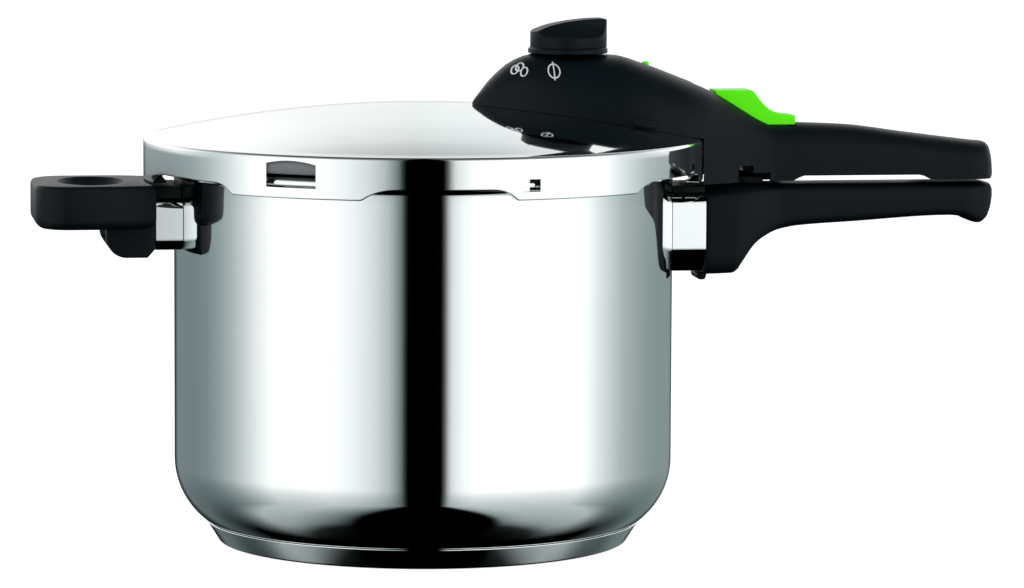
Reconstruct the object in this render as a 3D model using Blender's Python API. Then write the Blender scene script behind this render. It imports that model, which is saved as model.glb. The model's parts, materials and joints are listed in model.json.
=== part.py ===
"""Stovetop pressure cooker with a bayonet lid, a long side handle and a helper handle.

Metres, +Z up. The origin is the centre of the base's resting face and the long handle points
along +X. Names ending in _X are places along the handle, and names ending in _Z are heights.
"""

import math

import bmesh
import bpy

MM = 0.001
GAP = 0.3 * MM  # clearance between pieces that touch

# Pot: a drawn steel vessel on a capsule base
POT_RADIUS = 110.5 * MM
POT_HEIGHT = 166.0 * MM
POT_WALL = 1.0 * MM
CORNER_RADIUS = 33.5 * MM
TUCK_RADIUS = 17.0 * MM
RIM_LOBE_REACH = 10.5 * MM
RIM_GAP_REACH = 5.5 * MM
RIM_BEND = 2.5 * MM
BASE_SKIN = 1.0 * MM
BASE_CORE_HEIGHT = 4.9 * MM
BASE_TAPER = 7.4 * MM
BASE_EDGE = 2.2 * MM
BASE_SEAM_ANGLE = math.radians(48.8)

# Bayonet: the same number of lugs under the lid and lobes round the rim
LUG_COUNT = 6
LUG_SPAN = math.radians(29.0)
LUG_OFFSET = math.radians(-4.2)
LUG_FLOAT = 2.2 * MM
LOBE_SPAN = math.radians(26.0)

# Lid: a domed steel pressing with a deep skirt
SKIRT_WALL = 1.0 * MM
SKIRT_CLEARANCE = 2.0 * MM
SKIRT_RISE = 14.0 * MM
SKIRT_KNUCKLE = 1.6 * MM
SKIRT_GAP_EDGE = 4.8 * MM
LUG_LIP = 1.2 * MM
LUG_REACH = 6.0 * MM
DOME_RISE = 14.0 * MM
WINDOW_SPAN = math.radians(11.1)
WINDOW_HEIGHT = 10.9 * MM
WINDOW_LIFT = 4.6 * MM
WINDOW_TURN = math.radians(-0.6)
VENT_AZIMUTH = math.radians(-76.2)
VENT_WIDTH = 8.7 * MM
VENT_HEIGHT = 5.3 * MM
VENT_LIFT = 3.6 * MM
GASKET_LIP = 2.6 * MM
GASKET_DEPTH = 12.0 * MM

# Side fittings on the pot wall
GUARD_REACH = 13.2 * MM
HELPER_GUARD_REACH = 9.9 * MM
GUARD_HALF_WIDTH = 21.0 * MM
GUARD_WALL = 0.9 * MM
BRACKET_PLATE = 2.0 * MM
TONGUE_HALF_WIDTH = 9.0 * MM
TONGUE_HEIGHT = 5.0 * MM
TONGUE_REACH = 12.0 * MM
SCREW_RADIUS = 2.0 * MM
SCREW_HEAD_RADIUS = 3.8 * MM
SCREW_HEAD_HEIGHT = 2.4 * MM

# Long pot handle
POT_HANDLE_LENGTH = 132.4 * MM
POT_HANDLE_ROOT_DEPTH = 39.0 * MM
POT_HANDLE_HALF_WIDTH = 14.0 * MM
HANDLE_SPACING = 1.7 * MM
KEEPER_LENGTH = 11.3 * MM
KEEPER_HALF_WIDTH = 6.0 * MM
KEEPER_RISE = 3.2 * MM
KEEPER_SEAT = 0.9 * MM
KEEPER_OFFSET = 16.9 * MM

# Helper handle
HELPER_REACH = 52.4 * MM
HELPER_HALF_WIDTH = 31.0 * MM
HELPER_GRIP_DEPTH = 19.2 * MM
HELPER_ROOT_DEPTH = 32.0 * MM
HELPER_ROOT_LENGTH = 24.6 * MM
HELPER_CORNER = 15.0 * MM
FINGER_HOLE_LENGTH = 23.0 * MM
FINGER_HOLE_WIDTH = 38.0 * MM

# Lid handle: a pod over the valves that runs out into the long grip
LID_HANDLE_REACH = 133.5 * MM
POD_REACH = 102.4 * MM
POD_HALF_WIDTH = 34.5 * MM
POD_SWELL = 78.0 * MM  # from the nose back to where the pod is widest
POD_RISE = 36.5 * MM
LID_HANDLE_HALF_WIDTH = 16.0 * MM
LID_HANDLE_WALL = 2.4 * MM
LID_HANDLE_RECESS = 2.3 * MM
DOME_CLEARANCE = 0.9 * MM
HANDLE_PLATE = 2.0 * MM

# Pressure selector and operating valve
VALVE_INSET = 59.5 * MM
DIAL_RADIUS = 18.0 * MM
DIAL_COLLAR_HEIGHT = 2.8 * MM
DIAL_GRIP_HEIGHT = 12.6 * MM
DIAL_STEM_RADIUS = 8.5 * MM
DIAL_STEM_WALL = 1.8 * MM
VALVE_TUBE_RADIUS = 5.6 * MM
VALVE_BORE_RADIUS = 3.9 * MM
VALVE_FLANGE_RADIUS = 10.0 * MM
VALVE_FLANGE_HEIGHT = 2.4 * MM
VALVE_ORIFICE_RADIUS = 1.4 * MM
VALVE_NUT_RADIUS = 9.5 * MM
VALVE_NUT_HEIGHT = 4.0 * MM
SEAL_HEIGHT = 1.6 * MM

# Pressure indicator
INDICATOR_INSET = 24.5 * MM
INDICATOR_RADIUS = 1.6 * MM
INDICATOR_PROUD = 1.0 * MM
BUSH_RADIUS = 4.6 * MM

# Safety valve
SAFETY_INSET = 40.5 * MM
SAFETY_Y = 13.0 * MM
SAFETY_RADIUS = 5.0 * MM
SAFETY_BORE_RADIUS = 3.2 * MM
SAFETY_HEIGHT = 12.0 * MM

# Lid lock: a thumb slider that wedges a bolt down into the keeper
SLIDER_START = 4.0 * MM
SLIDER_LENGTH = 38.0 * MM
SLIDER_HALF_WIDTH = 8.0 * MM
SLIDER_TRAVEL = 8.0 * MM
SLIDER_TOP = 20.2 * MM
SLIDER_FOOT = 5.2 * MM
WEDGE_SLOPE = 0.5
WEDGE_HALF_WIDTH = 3.0 * MM
BOLT_RADIUS = 1.6 * MM
BOLT_HEAD_RADIUS = 3.5 * MM
BOLT_OFFSET = 19.2 * MM
SPRING_WIRE = 0.6 * MM

SEGMENTS = 48

# Heights and places that follow from the sizes above
BASE_TOP_Z = BASE_SKIN + BASE_CORE_HEIGHT + 2.0 * GAP
CORNER_X = POT_RADIUS - CORNER_RADIUS
TUCK_DROP = TUCK_RADIUS * (1.0 - math.sin(BASE_SEAM_ANGLE))
SEAM_Z = BASE_TOP_Z + TUCK_DROP
CORNER_Z = SEAM_Z + CORNER_RADIUS * math.sin(BASE_SEAM_ANGLE)
SEAM_RADIUS = CORNER_X + CORNER_RADIUS * math.cos(BASE_SEAM_ANGLE)
TUCK_X = SEAM_RADIUS - TUCK_RADIUS * math.cos(BASE_SEAM_ANGLE)
LOBE_RADIUS = POT_RADIUS + RIM_LOBE_REACH
RIM_GAP_RADIUS = POT_RADIUS + RIM_GAP_REACH
LID_RADIUS = LOBE_RADIUS + SKIRT_CLEARANCE + SKIRT_WALL
SHOULDER_Z = POT_HEIGHT + SKIRT_RISE
LUG_TOP_Z = POT_HEIGHT - POT_WALL - LUG_FLOAT
LID_BOTTOM_Z = LUG_TOP_Z - LUG_LIP
SKIRT_GAP_Z = LID_BOTTOM_Z + SKIRT_GAP_EDGE
LUG_PITCH = 2.0 * math.pi / LUG_COUNT
DOME_EDGE_RADIUS = LID_RADIUS - SKIRT_KNUCKLE
DOME_SPHERE = (DOME_EDGE_RADIUS**2 + DOME_RISE**2) / (2.0 * DOME_RISE)
GUARD_TOP_Z = LID_BOTTOM_Z - 7.4 * MM
ROOT_X = POT_RADIUS + GUARD_REACH + GAP
HELPER_ROOT_X = POT_RADIUS + HELPER_GUARD_REACH + GAP
LID_HANDLE_BOTTOM_Z = LID_BOTTOM_Z - 1.9 * MM
POT_HANDLE_TOP_Z = LID_HANDLE_BOTTOM_Z - HANDLE_SPACING
HELPER_TOP_Z = LID_BOTTOM_Z - 2.0 * GAP
POD_TOP_Z = SHOULDER_Z + POD_RISE
VALVE_X = LID_RADIUS - VALVE_INSET
INDICATOR_X = LID_RADIUS - INDICATOR_INSET
SAFETY_X = LID_RADIUS - SAFETY_INSET
KEEPER_X = LID_RADIUS + KEEPER_OFFSET
BOLT_X = LID_RADIUS + BOLT_OFFSET

STEEL = ("polished_steel", (0.80, 0.82, 0.82), 0.08, 1.0)
ALUMINIUM = ("aluminium", (0.78, 0.79, 0.80), 0.35, 1.0)
BLACK = ("black_plastic", (0.012, 0.014, 0.016), 0.38, 0.0)
GREEN = ("green_plastic", (0.13, 0.84, 0.01), 0.35, 0.0)
RUBBER = ("grey_silicone", (0.22, 0.23, 0.24), 0.6, 0.0)
BRASS = ("valve_brass", (0.72, 0.56, 0.28), 0.3, 1.0)


def clear_scene():
    for thing in list(bpy.data.objects):
        bpy.data.objects.remove(thing, do_unlink=True)


def finish(spec):
    """The material of one kind, made the first time that it is asked for."""
    name, colour, roughness, metallic = spec
    found = bpy.data.materials.get(name)
    if found:
        return found
    made = bpy.data.materials.new(name)
    made.use_nodes = True
    shader = made.node_tree.nodes["Principled BSDF"]
    shader.inputs["Base Color"].default_value = (*colour, 1.0)
    shader.inputs["Roughness"].default_value = roughness
    shader.inputs["Metallic"].default_value = metallic
    made.diffuse_color = (*colour, 1.0)
    return made


def place(name, bm, spec, origin=(0.0, 0.0, 0.0)):
    """Turns a bmesh into a named object whose origin is at origin."""
    bmesh.ops.remove_doubles(bm, verts=bm.verts, dist=0.001 * MM)
    bmesh.ops.recalc_face_normals(bm, faces=bm.faces)
    bmesh.ops.translate(bm, verts=bm.verts, vec=[-value for value in origin])
    mesh = bpy.data.meshes.new(name)
    bm.to_mesh(mesh)
    bm.free()
    mesh.materials.append(finish(spec))
    mesh.shade_smooth()
    mesh.set_sharp_from_angle(angle=math.radians(35.0))
    thing = bpy.data.objects.new(name, mesh)
    thing.location = origin
    bpy.context.scene.collection.objects.link(thing)
    return thing


def as_helper(thing):
    """Hides a cutter or a piece that a Boolean joins to another."""
    thing.hide_render = True
    thing.display_type = "WIRE"
    return thing


def boolean(target, helper, operation):
    modifier = target.modifiers.new(f"{operation.lower()}_{helper.name}", "BOOLEAN")
    modifier.operation = operation
    modifier.object = as_helper(helper)


def cut(target, *cutters):
    for cutter in cutters:
        boolean(target, cutter, "DIFFERENCE")


def join(target, *others):
    for other in others:
        boolean(target, other, "UNION")


def turned(name, profile, spec, centre=(0.0, 0.0), segments=SEGMENTS, ring=False):
    """Spins a profile of (radius, z) points about a vertical axis.

    A ring's profile is closed; any other profile starts and ends on the axis.
    """
    bm = bmesh.new()
    points = [bm.verts.new((radius, 0.0, z)) for radius, z in profile]
    pairs = list(zip(points, points[1:]))
    if ring:
        pairs.append((points[-1], points[0]))
    edges = [bm.edges.new(pair) for pair in pairs]
    bmesh.ops.spin(
        bm,
        geom=points + edges,
        cent=(0.0, 0.0, 0.0),
        axis=(0.0, 0.0, 1.0),
        angle=2.0 * math.pi,
        steps=segments,
        use_merge=True,
    )
    bmesh.ops.translate(bm, verts=bm.verts, vec=(*centre, 0.0))
    return place(name, bm, spec, (*centre, 0.0))


def tube(name, inner, outer, low, high, spec, centre, segments=24):
    profile = [(inner, low), (outer, low), (outer, high), (inner, high)]
    return turned(name, profile, spec, centre, segments, ring=True)


def rod(name, radius, low, high, spec, centre, segments=24):
    profile = [(0.0, low), (radius, low), (radius, high), (0.0, high)]
    return turned(name, profile, spec, centre, segments)


def nut(name, bore, radius, low, high, spec, centre):
    """A hexagon with a round bore."""
    corners = [math.radians(60.0 * step) for step in range(6)]
    outline = [(centre[0] + radius * math.cos(a), centre[1] + radius * math.sin(a)) for a in corners]
    made = slab(name, outline, low, high, spec)
    cut(made, rod(f"{name}_bore", bore, low - 1.0 * MM, high + 1.0 * MM, spec, centre))
    return made


def block(name, low, high, spec):
    bm = bmesh.new()
    bmesh.ops.create_cube(bm, size=1.0)
    for corner in bm.verts:
        for axis in range(3):
            corner.co[axis] = high[axis] if corner.co[axis] > 0.0 else low[axis]
    return place(name, bm, spec)


def sheet_across(name, outline, half_width, spec):
    """Extrudes a side outline of (x, z) points across Y."""
    bm = bmesh.new()
    near = bm.faces.new([bm.verts.new((x, -half_width, z)) for x, z in outline])
    grown = bmesh.ops.extrude_face_region(bm, geom=[near])["geom"]
    far = [item for item in grown if isinstance(item, bmesh.types.BMVert)]
    bmesh.ops.translate(bm, verts=far, vec=(0.0, 2.0 * half_width, 0.0))
    return place(name, bm, spec)


def slab(name, outline, low, high, spec):
    """Extrudes a plan outline of (x, y) points upwards."""
    bm = bmesh.new()
    base = bm.faces.new([bm.verts.new((x, y, low)) for x, y in outline])
    grown = bmesh.ops.extrude_face_region(bm, geom=[base])["geom"]
    top = [item for item in grown if isinstance(item, bmesh.types.BMVert)]
    bmesh.ops.translate(bm, verts=top, vec=(0.0, 0.0, high - low))
    return place(name, bm, spec)


def arc(centre, radius, start, end, steps):
    """Points from one angle to the other round a centre, both ends included."""
    angles = [start + (end - start) * step / steps for step in range(steps + 1)]
    return [
        (centre[0] + radius * math.cos(angle), centre[1] + radius * math.sin(angle))
        for angle in angles
    ]


def sector(name, inner, outer, low, high, middle, span, steps=8):
    """A cutter that fills a stretch of a ring, such as the gap between two lugs."""
    start, end = middle - span / 2.0, middle + span / 2.0
    outline = arc((0.0, 0.0), outer, start, end, steps)
    outline += arc((0.0, 0.0), inner, end, start, steps)
    return slab(name, outline, low, high, STEEL)


def interpolate(points, x):
    """The height at x on a line through (x, height) points, held level past its ends."""
    if x <= points[0][0]:
        return points[0][1]
    for (x_a, z_a), (x_b, z_b) in zip(points, points[1:]):
        if x <= x_b:
            return z_a + (z_b - z_a) * (x - x_a) / (x_b - x_a)
    return points[-1][1]


def loft(name, sections, spec):
    """Skins a row of (x, outline) sections, each outline holding as many (y, z) points."""
    bm = bmesh.new()
    rings = [[bm.verts.new((x, y, z)) for y, z in outline] for x, outline in sections]
    for ring, following in zip(rings, rings[1:]):
        for index in range(len(ring)):
            after = (index + 1) % len(ring)
            bm.faces.new((ring[index], ring[after], following[after], following[index]))
    bm.faces.new(rings[0])
    bm.faces.new(rings[-1])
    return place(name, bm, spec)


def hood_section(half_width, low, high, side_share=0.35, roundness=2.6, steps=5):
    """A section with a flat foot, upright sides and a crowned top."""
    shoulder = low + side_share * (high - low)
    crown = []
    for step in range(2 * steps + 1):
        angle = math.pi * (1.0 - step / (2.0 * steps))
        across = math.copysign(abs(math.cos(angle)) ** (2.0 / roundness), math.cos(angle))
        up = math.sin(angle) ** (2.0 / roundness) if 0 < step < 2 * steps else 0.0
        crown.append((half_width * across, shoulder + (high - shoulder) * up))
    return [(-half_width, low), *crown, (half_width, low)]


def bar_section(half_width, low, high, corner, steps=3):
    """A rounded rectangle."""
    corner = min(corner, 0.45 * half_width, 0.45 * (high - low))
    points = []
    places = [
        (half_width - corner, high - corner, 0.0),
        (corner - half_width, high - corner, 0.5),
        (corner - half_width, low + corner, 1.0),
        (half_width - corner, low + corner, 1.5),
    ]
    for y, z, quarter in places:
        start = math.pi * quarter
        points += arc((y, z), corner, start, start + math.pi / 2.0, steps)
    return points


def coil(name, centre, low, high, radius, turns, spec):
    """A compression spring: a bevelled curve that follows a helix."""
    per_turn = 8
    count = int(turns * per_turn)
    rise = high - low - 2.0 * SPRING_WIRE
    curve = bpy.data.curves.new(name, "CURVE")
    curve.dimensions = "3D"
    curve.bevel_depth = SPRING_WIRE / 2.0
    curve.bevel_resolution = 0
    curve.use_fill_caps = True
    spline = curve.splines.new("POLY")
    spline.points.add(count)
    for step, point in enumerate(spline.points):
        angle = 2.0 * math.pi * step / per_turn
        z = low + SPRING_WIRE + rise * step / count
        point.co = (radius * math.cos(angle), radius * math.sin(angle), z, 1.0)
    curve.materials.append(finish(spec))
    thing = bpy.data.objects.new(name, curve)
    thing.location = (*centre, 0.0)
    bpy.context.scene.collection.objects.link(thing)
    return thing


def dome_height(radius, drop=0.0):
    """Height of the lid's dome at a distance from the axis, on a skin drop below the outside."""
    sphere = DOME_SPHERE - drop
    return SHOULDER_Z + DOME_RISE - DOME_SPHERE + math.sqrt(sphere**2 - radius**2)


def dome_profile(drop, edge_radius, steps=6):
    return [
        (edge_radius * step / steps, dome_height(edge_radius * step / steps, drop))
        for step in range(steps + 1)
    ]


# ---------------------------------------------------------------- pot


def vessel_skin(inset, steps=4):
    """The vessel's profile from the middle of its floor up to the wall, inset from the outside."""
    tuck = arc((TUCK_X, BASE_TOP_Z + TUCK_RADIUS), TUCK_RADIUS - inset,
               -math.pi / 2.0, -BASE_SEAM_ANGLE, 2)
    corner = arc((CORNER_X, CORNER_Z), CORNER_RADIUS - inset, -BASE_SEAM_ANGLE, 0.0, steps)
    return [(0.0, BASE_TOP_Z + inset), *tuck, *corner[1:]]


def pot_body():
    rim_z = POT_HEIGHT - POT_WALL
    outside = vessel_skin(0.0)
    bend = arc((POT_RADIUS + RIM_BEND, rim_z - RIM_BEND), RIM_BEND,
               math.pi, math.pi / 2.0, 3)
    lip = [(LOBE_RADIUS, rim_z), (LOBE_RADIUS, POT_HEIGHT)]
    inner_bend = arc((POT_RADIUS + RIM_BEND, rim_z - RIM_BEND), RIM_BEND + POT_WALL,
                     math.pi / 2.0, math.pi, 3)
    inside = list(reversed(vessel_skin(POT_WALL)))
    body = turned("pot_body", outside + bend + lip + inner_bend + inside, STEEL)
    for index in range(LUG_COUNT):
        middle = LUG_OFFSET + LUG_PITCH * (index + 0.5)
        cut(body, sector(f"rim_gap_{index}", RIM_GAP_RADIUS, LOBE_RADIUS + 5.0 * MM,
                         rim_z - 2.0 * MM, POT_HEIGHT + 2.0 * MM,
                         middle, LUG_PITCH - LOBE_SPAN))
    return body


def base_core():
    radius = TUCK_X - 3.0 * MM
    low = BASE_SKIN + GAP
    return rod("base_core", radius, low, low + BASE_CORE_HEIGHT, ALUMINIUM, (0.0, 0.0), SEGMENTS)


def base_cap():
    """The steel cap that holds the aluminium core and tucks up round the vessel's corner."""
    foot = SEAM_RADIUS - BASE_TAPER
    edge = arc((foot - BASE_EDGE, BASE_EDGE), BASE_EDGE, -math.pi / 2.0, -math.pi / 5.0, 3)
    tuck = arc((TUCK_X, BASE_TOP_Z + TUCK_RADIUS), TUCK_RADIUS + GAP,
               -BASE_SEAM_ANGLE, -math.pi / 2.0, 4)
    core_side = TUCK_X - 3.0 * MM + GAP
    profile = [(0.0, 0.0), *edge]
    profile += [(SEAM_RADIUS, tuck[0][1] - 0.4 * MM), *tuck]
    profile += [(core_side, tuck[-1][1]), (core_side, BASE_SKIN), (0.0, BASE_SKIN)]
    return turned("base_cap", profile, STEEL)


def wall_side(side, x):
    """A distance from the pot's axis as an x coordinate, on the handle side or the helper side."""
    return side * x


def root_distance(side):
    """How far from the pot's axis a handle's root starts, on the handle side or the helper side."""
    return ROOT_X if side > 0.0 else HELPER_ROOT_X


def flame_guard(name, side, low, high):
    """A steel sleeve between the pot wall and a handle's root."""
    near = wall_side(side, POT_RADIUS - 6.0 * MM)
    far = wall_side(side, root_distance(side) - GAP)
    corner = 4.0 * MM
    outer = bar_section(GUARD_HALF_WIDTH, low, high, corner)
    inner = bar_section(GUARD_HALF_WIDTH - GUARD_WALL, low + GUARD_WALL, high - GUARD_WALL,
                        corner - GUARD_WALL)
    guard = loft(name, [(near, outer), (far, outer)], STEEL)
    hollow = loft(f"{name}_hollow", [(near - side * 5.0 * MM, inner), (far + side * 5.0 * MM, inner)],
                  STEEL)
    wall = rod(f"{name}_wall", POT_RADIUS + GAP, low - 5.0 * MM, high + 5.0 * MM, STEEL,
               (0.0, 0.0), SEGMENTS)
    cut(guard, hollow, wall)
    return guard


def bracket(name, side, tongue_z, low, high):
    """A plate welded to the wall with a tongue that the handle slides on to."""
    plate_near = POT_RADIUS + GAP
    plate_far = plate_near + BRACKET_PLATE
    tip = root_distance(side) + TONGUE_REACH
    outline = [
        (wall_side(side, plate_near), low),
        (wall_side(side, plate_far), low),
        (wall_side(side, plate_far), tongue_z),
        (wall_side(side, tip), tongue_z),
        (wall_side(side, tip), tongue_z + TONGUE_HEIGHT),
        (wall_side(side, plate_far), tongue_z + TONGUE_HEIGHT),
        (wall_side(side, plate_far), high),
        (wall_side(side, plate_near), high),
    ]
    made = sheet_across(name, outline, TONGUE_HALF_WIDTH, STEEL)
    cut(made, rod(f"{name}_thread", SCREW_RADIUS + GAP, low - 5.0 * MM, tongue_z + 3.5 * MM, STEEL,
                  (screw_place(side), 0.0), 16))
    return made


def screw_place(side):
    return wall_side(side, root_distance(side) + TONGUE_REACH / 2.0)


def tongue_pocket(name, side, tongue_z):
    x_a = wall_side(side, root_distance(side) - 5.0 * MM)
    x_b = wall_side(side, root_distance(side) + TONGUE_REACH + GAP)
    low = (min(x_a, x_b), -TONGUE_HALF_WIDTH - GAP, tongue_z - GAP)
    high = (max(x_a, x_b), TONGUE_HALF_WIDTH + GAP, tongue_z + TONGUE_HEIGHT + GAP)
    return block(name, low, high, STEEL)


def screw(name, x, y, head_z, tip_z, spec=STEEL):
    """A headed screw driven upwards: its head sits at head_z and its tip ends at tip_z."""
    neck_z = head_z + SCREW_HEAD_HEIGHT
    profile = [
        (0.0, head_z),
        (SCREW_HEAD_RADIUS, head_z),
        (SCREW_HEAD_RADIUS, neck_z),
        (SCREW_RADIUS, neck_z),
        (SCREW_RADIUS, tip_z),
        (0.0, tip_z),
    ]
    made = turned(name, profile, spec, (x, y), 20)
    slot = block(f"{name}_slot", (x - 6.0 * MM, y - 0.5 * MM, head_z - 1.0 * MM),
                 (x + 6.0 * MM, y + 0.5 * MM, head_z + 1.0 * MM), spec)
    cut(made, slot)
    return made


def screw_hole(name, x, y, low, seat_z, high):
    """A cutter for a screw: its counterbore up to seat_z, then its shank."""
    profile = [
        (0.0, low),
        (SCREW_HEAD_RADIUS + GAP, low),
        (SCREW_HEAD_RADIUS + GAP, seat_z),
        (SCREW_RADIUS + GAP, seat_z),
        (SCREW_RADIUS + GAP, high),
        (0.0, high),
    ]
    return turned(name, profile, STEEL, (x, y), 20)


POT_HANDLE_UNDERSIDE = [
    (0.0, -39.1), (13.9, -38.5), (17.9, -33.7), (22.9, -27.0), (27.4, -23.5), (34.1, -20.4),
    (43.2, -18.8), (66.0, -17.3), (110.7, -14.7), (116.3, -15.1), (120.9, -17.2), (124.1, -17.7),
    (127.7, -14.5), (129.9, -8.7), (130.8, -4.3),
]


def pot_handle_half_width(distance):
    """Half the width of the pot handle at a distance from its root."""
    root = POT_HANDLE_HALF_WIDTH + 3.5 * MM
    length = POT_HANDLE_LENGTH
    widths = [
        (0.0, root),
        (14.0 * MM, root),
        (36.0 * MM, POT_HANDLE_HALF_WIDTH),
        (length - 12.0 * MM, POT_HANDLE_HALF_WIDTH),
        (length - 5.0 * MM, 0.86 * POT_HANDLE_HALF_WIDTH),
        (length - 1.5 * MM, 0.62 * POT_HANDLE_HALF_WIDTH),
        (length, 0.4 * POT_HANDLE_HALF_WIDTH),
    ]
    return interpolate(widths, distance)


def pot_handle():
    depth_scale = POT_HANDLE_ROOT_DEPTH / -POT_HANDLE_UNDERSIDE[0][1]
    length_scale = POT_HANDLE_LENGTH / POT_HANDLE_UNDERSIDE[-1][0]
    sections = []
    for along, below in POT_HANDLE_UNDERSIDE:
        distance = along * length_scale
        top = POT_HANDLE_TOP_Z - (1.6 * MM if below > -6.0 else 0.0)
        outline = bar_section(pot_handle_half_width(distance), POT_HANDLE_TOP_Z + below * depth_scale,
                              top, 4.0 * MM)
        sections.append((ROOT_X + distance, outline))
    handle = loft("pot_handle", sections, BLACK)
    low = POT_HANDLE_TOP_Z - POT_HANDLE_ROOT_DEPTH
    toe = sheet_across("pot_handle_toe", [
        (ROOT_X - 4.0 * MM, low - 1.4 * MM),
        (ROOT_X + 1.9 * MM, low - 1.4 * MM),
        (ROOT_X + 3.5 * MM, low + 3.0 * MM),
        (ROOT_X + 0.5 * MM, low + 3.0 * MM),
        (ROOT_X - 0.1 * MM, pot_guard_low() - 2.0 * GAP),
        (ROOT_X - 4.0 * MM, pot_guard_low() - 2.0 * GAP),
    ], POT_HANDLE_HALF_WIDTH, BLACK)
    join(handle, toe)
    tongue_z = pot_tongue_z()
    x = screw_place(1.0)
    cut(handle, tongue_pocket("pot_tongue_pocket", 1.0, tongue_z),
        screw_hole("pot_screw_hole", x, 0.0, low - 5.0 * MM, low + 5.5 * MM, tongue_z + GAP),
        keeper_outline("keeper_seat", GAP, -GAP))
    return handle


def pot_guard_low():
    return POT_HANDLE_TOP_Z - POT_HANDLE_ROOT_DEPTH + 1.9 * MM


def pot_tongue_z():
    return POT_HANDLE_TOP_Z - 22.0 * MM


def pot_fittings():
    flame_guard("pot_flame_guard", 1.0, pot_guard_low(), GUARD_TOP_Z)
    bracket("pot_handle_bracket", 1.0, pot_tongue_z(), pot_guard_low() + 3.0 * MM,
            GUARD_TOP_Z - 3.0 * MM)
    pot_handle()
    low = POT_HANDLE_TOP_Z - POT_HANDLE_ROOT_DEPTH
    head_z = low + 5.5 * MM - SCREW_HEAD_HEIGHT - GAP
    screw("pot_handle_screw", screw_place(1.0), 0.0, head_z, pot_tongue_z() + 3.0 * MM)
    lock_keeper()


def keeper_outline(name, grow, base_drop):
    """The block that the lid lock drops into, grown by a clearance for the seat that holds it."""
    low = (KEEPER_X - grow, -KEEPER_HALF_WIDTH - grow, POT_HANDLE_TOP_Z - KEEPER_SEAT + base_drop)
    high = (KEEPER_X + KEEPER_LENGTH + grow, KEEPER_HALF_WIDTH + grow,
            POT_HANDLE_TOP_Z + KEEPER_RISE)
    return block(name, low, high, BLACK)


def lock_keeper():
    keeper = keeper_outline("lock_keeper", 0.0, 0.0)
    reach = BOLT_X + BOLT_RADIUS + 2.0 * GAP
    side = BOLT_RADIUS + 2.0 * GAP
    cut(keeper, block("keeper_slot", (KEEPER_X - 2.0 * MM, -side, POT_HANDLE_TOP_Z + 0.6 * MM),
                      (reach, side, POT_HANDLE_TOP_Z + KEEPER_RISE + 2.0 * MM), BLACK))


# ---------------------------------------------------------------- helper handle


def helper_guard_low():
    return HELPER_TOP_Z - 28.0 * MM


def helper_tongue_z():
    return HELPER_TOP_Z - 18.0 * MM


def helper_plan():
    """The grip's plan outline, from the root round the rounded end and back."""
    root_x = -HELPER_ROOT_X
    end_x = root_x - HELPER_REACH
    corner = HELPER_CORNER
    near = arc((end_x + corner, corner - HELPER_HALF_WIDTH), corner, 1.5 * math.pi, math.pi, 5)
    far = arc((end_x + corner, HELPER_HALF_WIDTH - corner), corner, math.pi, 0.5 * math.pi, 5)
    shoulder_x = root_x - 14.0 * MM
    root = HELPER_HALF_WIDTH - 5.0 * MM
    return [(root_x, -root), (shoulder_x, -HELPER_HALF_WIDTH), *near, *far,
            (shoulder_x, HELPER_HALF_WIDTH), (root_x, root)]


def helper_handle():
    root_x = -HELPER_ROOT_X
    grip = slab("helper_handle", helper_plan(), HELPER_TOP_Z - HELPER_GRIP_DEPTH, HELPER_TOP_Z, BLACK)
    edge = grip.modifiers.new("soft_edges", "BEVEL")
    edge.width = 2.5 * MM
    edge.segments = 2
    edge.limit_method = "ANGLE"
    edge.angle_limit = math.radians(60.0)
    low = HELPER_TOP_Z - HELPER_ROOT_DEPTH
    heel = root_x - HELPER_ROOT_LENGTH
    bend = 11.0 * MM
    lobe = arc((heel + bend, low + bend), bend, -0.5 * math.pi, -math.pi, 4)
    front = root_x
    seat = helper_guard_low() - 2.0 * GAP
    outline = [
        (front + 13.0 * MM, low + 0.6 * MM),
        (front - 1.5 * MM, low),
        *lobe,
        (heel, HELPER_TOP_Z - HELPER_GRIP_DEPTH + 2.0 * MM),
        (root_x - 8.0 * MM, HELPER_TOP_Z - 4.0 * MM),
        (front, HELPER_TOP_Z - 4.0 * MM),
        (front, seat),
        (front + 13.0 * MM, seat),
    ]
    root = sheet_across("helper_root", outline, HELPER_HALF_WIDTH - 8.0 * MM, BLACK)
    join(grip, root)
    hole_x = root_x - HELPER_REACH + 14.0 * MM + FINGER_HOLE_LENGTH / 2.0
    hole = slab("finger_hole", [
        (hole_x + 0.5 * FINGER_HOLE_LENGTH * math.cos(angle), 0.5 * FINGER_HOLE_WIDTH * math.sin(angle))
        for angle in [2.0 * math.pi * step / 24 for step in range(24)]
    ], HELPER_TOP_Z - HELPER_GRIP_DEPTH - 5.0 * MM, HELPER_TOP_Z + 5.0 * MM, BLACK)
    wall = rod("helper_wall", POT_RADIUS + GAP, low - 5.0 * MM, HELPER_TOP_Z + 5.0 * MM, STEEL,
               (0.0, 0.0), SEGMENTS)
    cut(grip, hole, wall, tongue_pocket("helper_tongue_pocket", -1.0, helper_tongue_z()),
        screw_hole("helper_screw_hole", screw_place(-1.0), 0.0, low - 5.0 * MM, low + 4.5 * MM,
                   helper_tongue_z() + GAP))
    return grip


def helper_fittings():
    low = helper_guard_low()
    flame_guard("helper_flame_guard", -1.0, low, GUARD_TOP_Z)
    bracket("helper_handle_bracket", -1.0, helper_tongue_z(), low + 2.5 * MM, GUARD_TOP_Z - 2.5 * MM)
    helper_handle()
    head_z = HELPER_TOP_Z - HELPER_ROOT_DEPTH + 4.5 * MM - SCREW_HEAD_HEIGHT - GAP
    screw("helper_handle_screw", screw_place(-1.0), 0.0, head_z, helper_tongue_z() + 3.0 * MM)


# ---------------------------------------------------------------- lid


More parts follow.
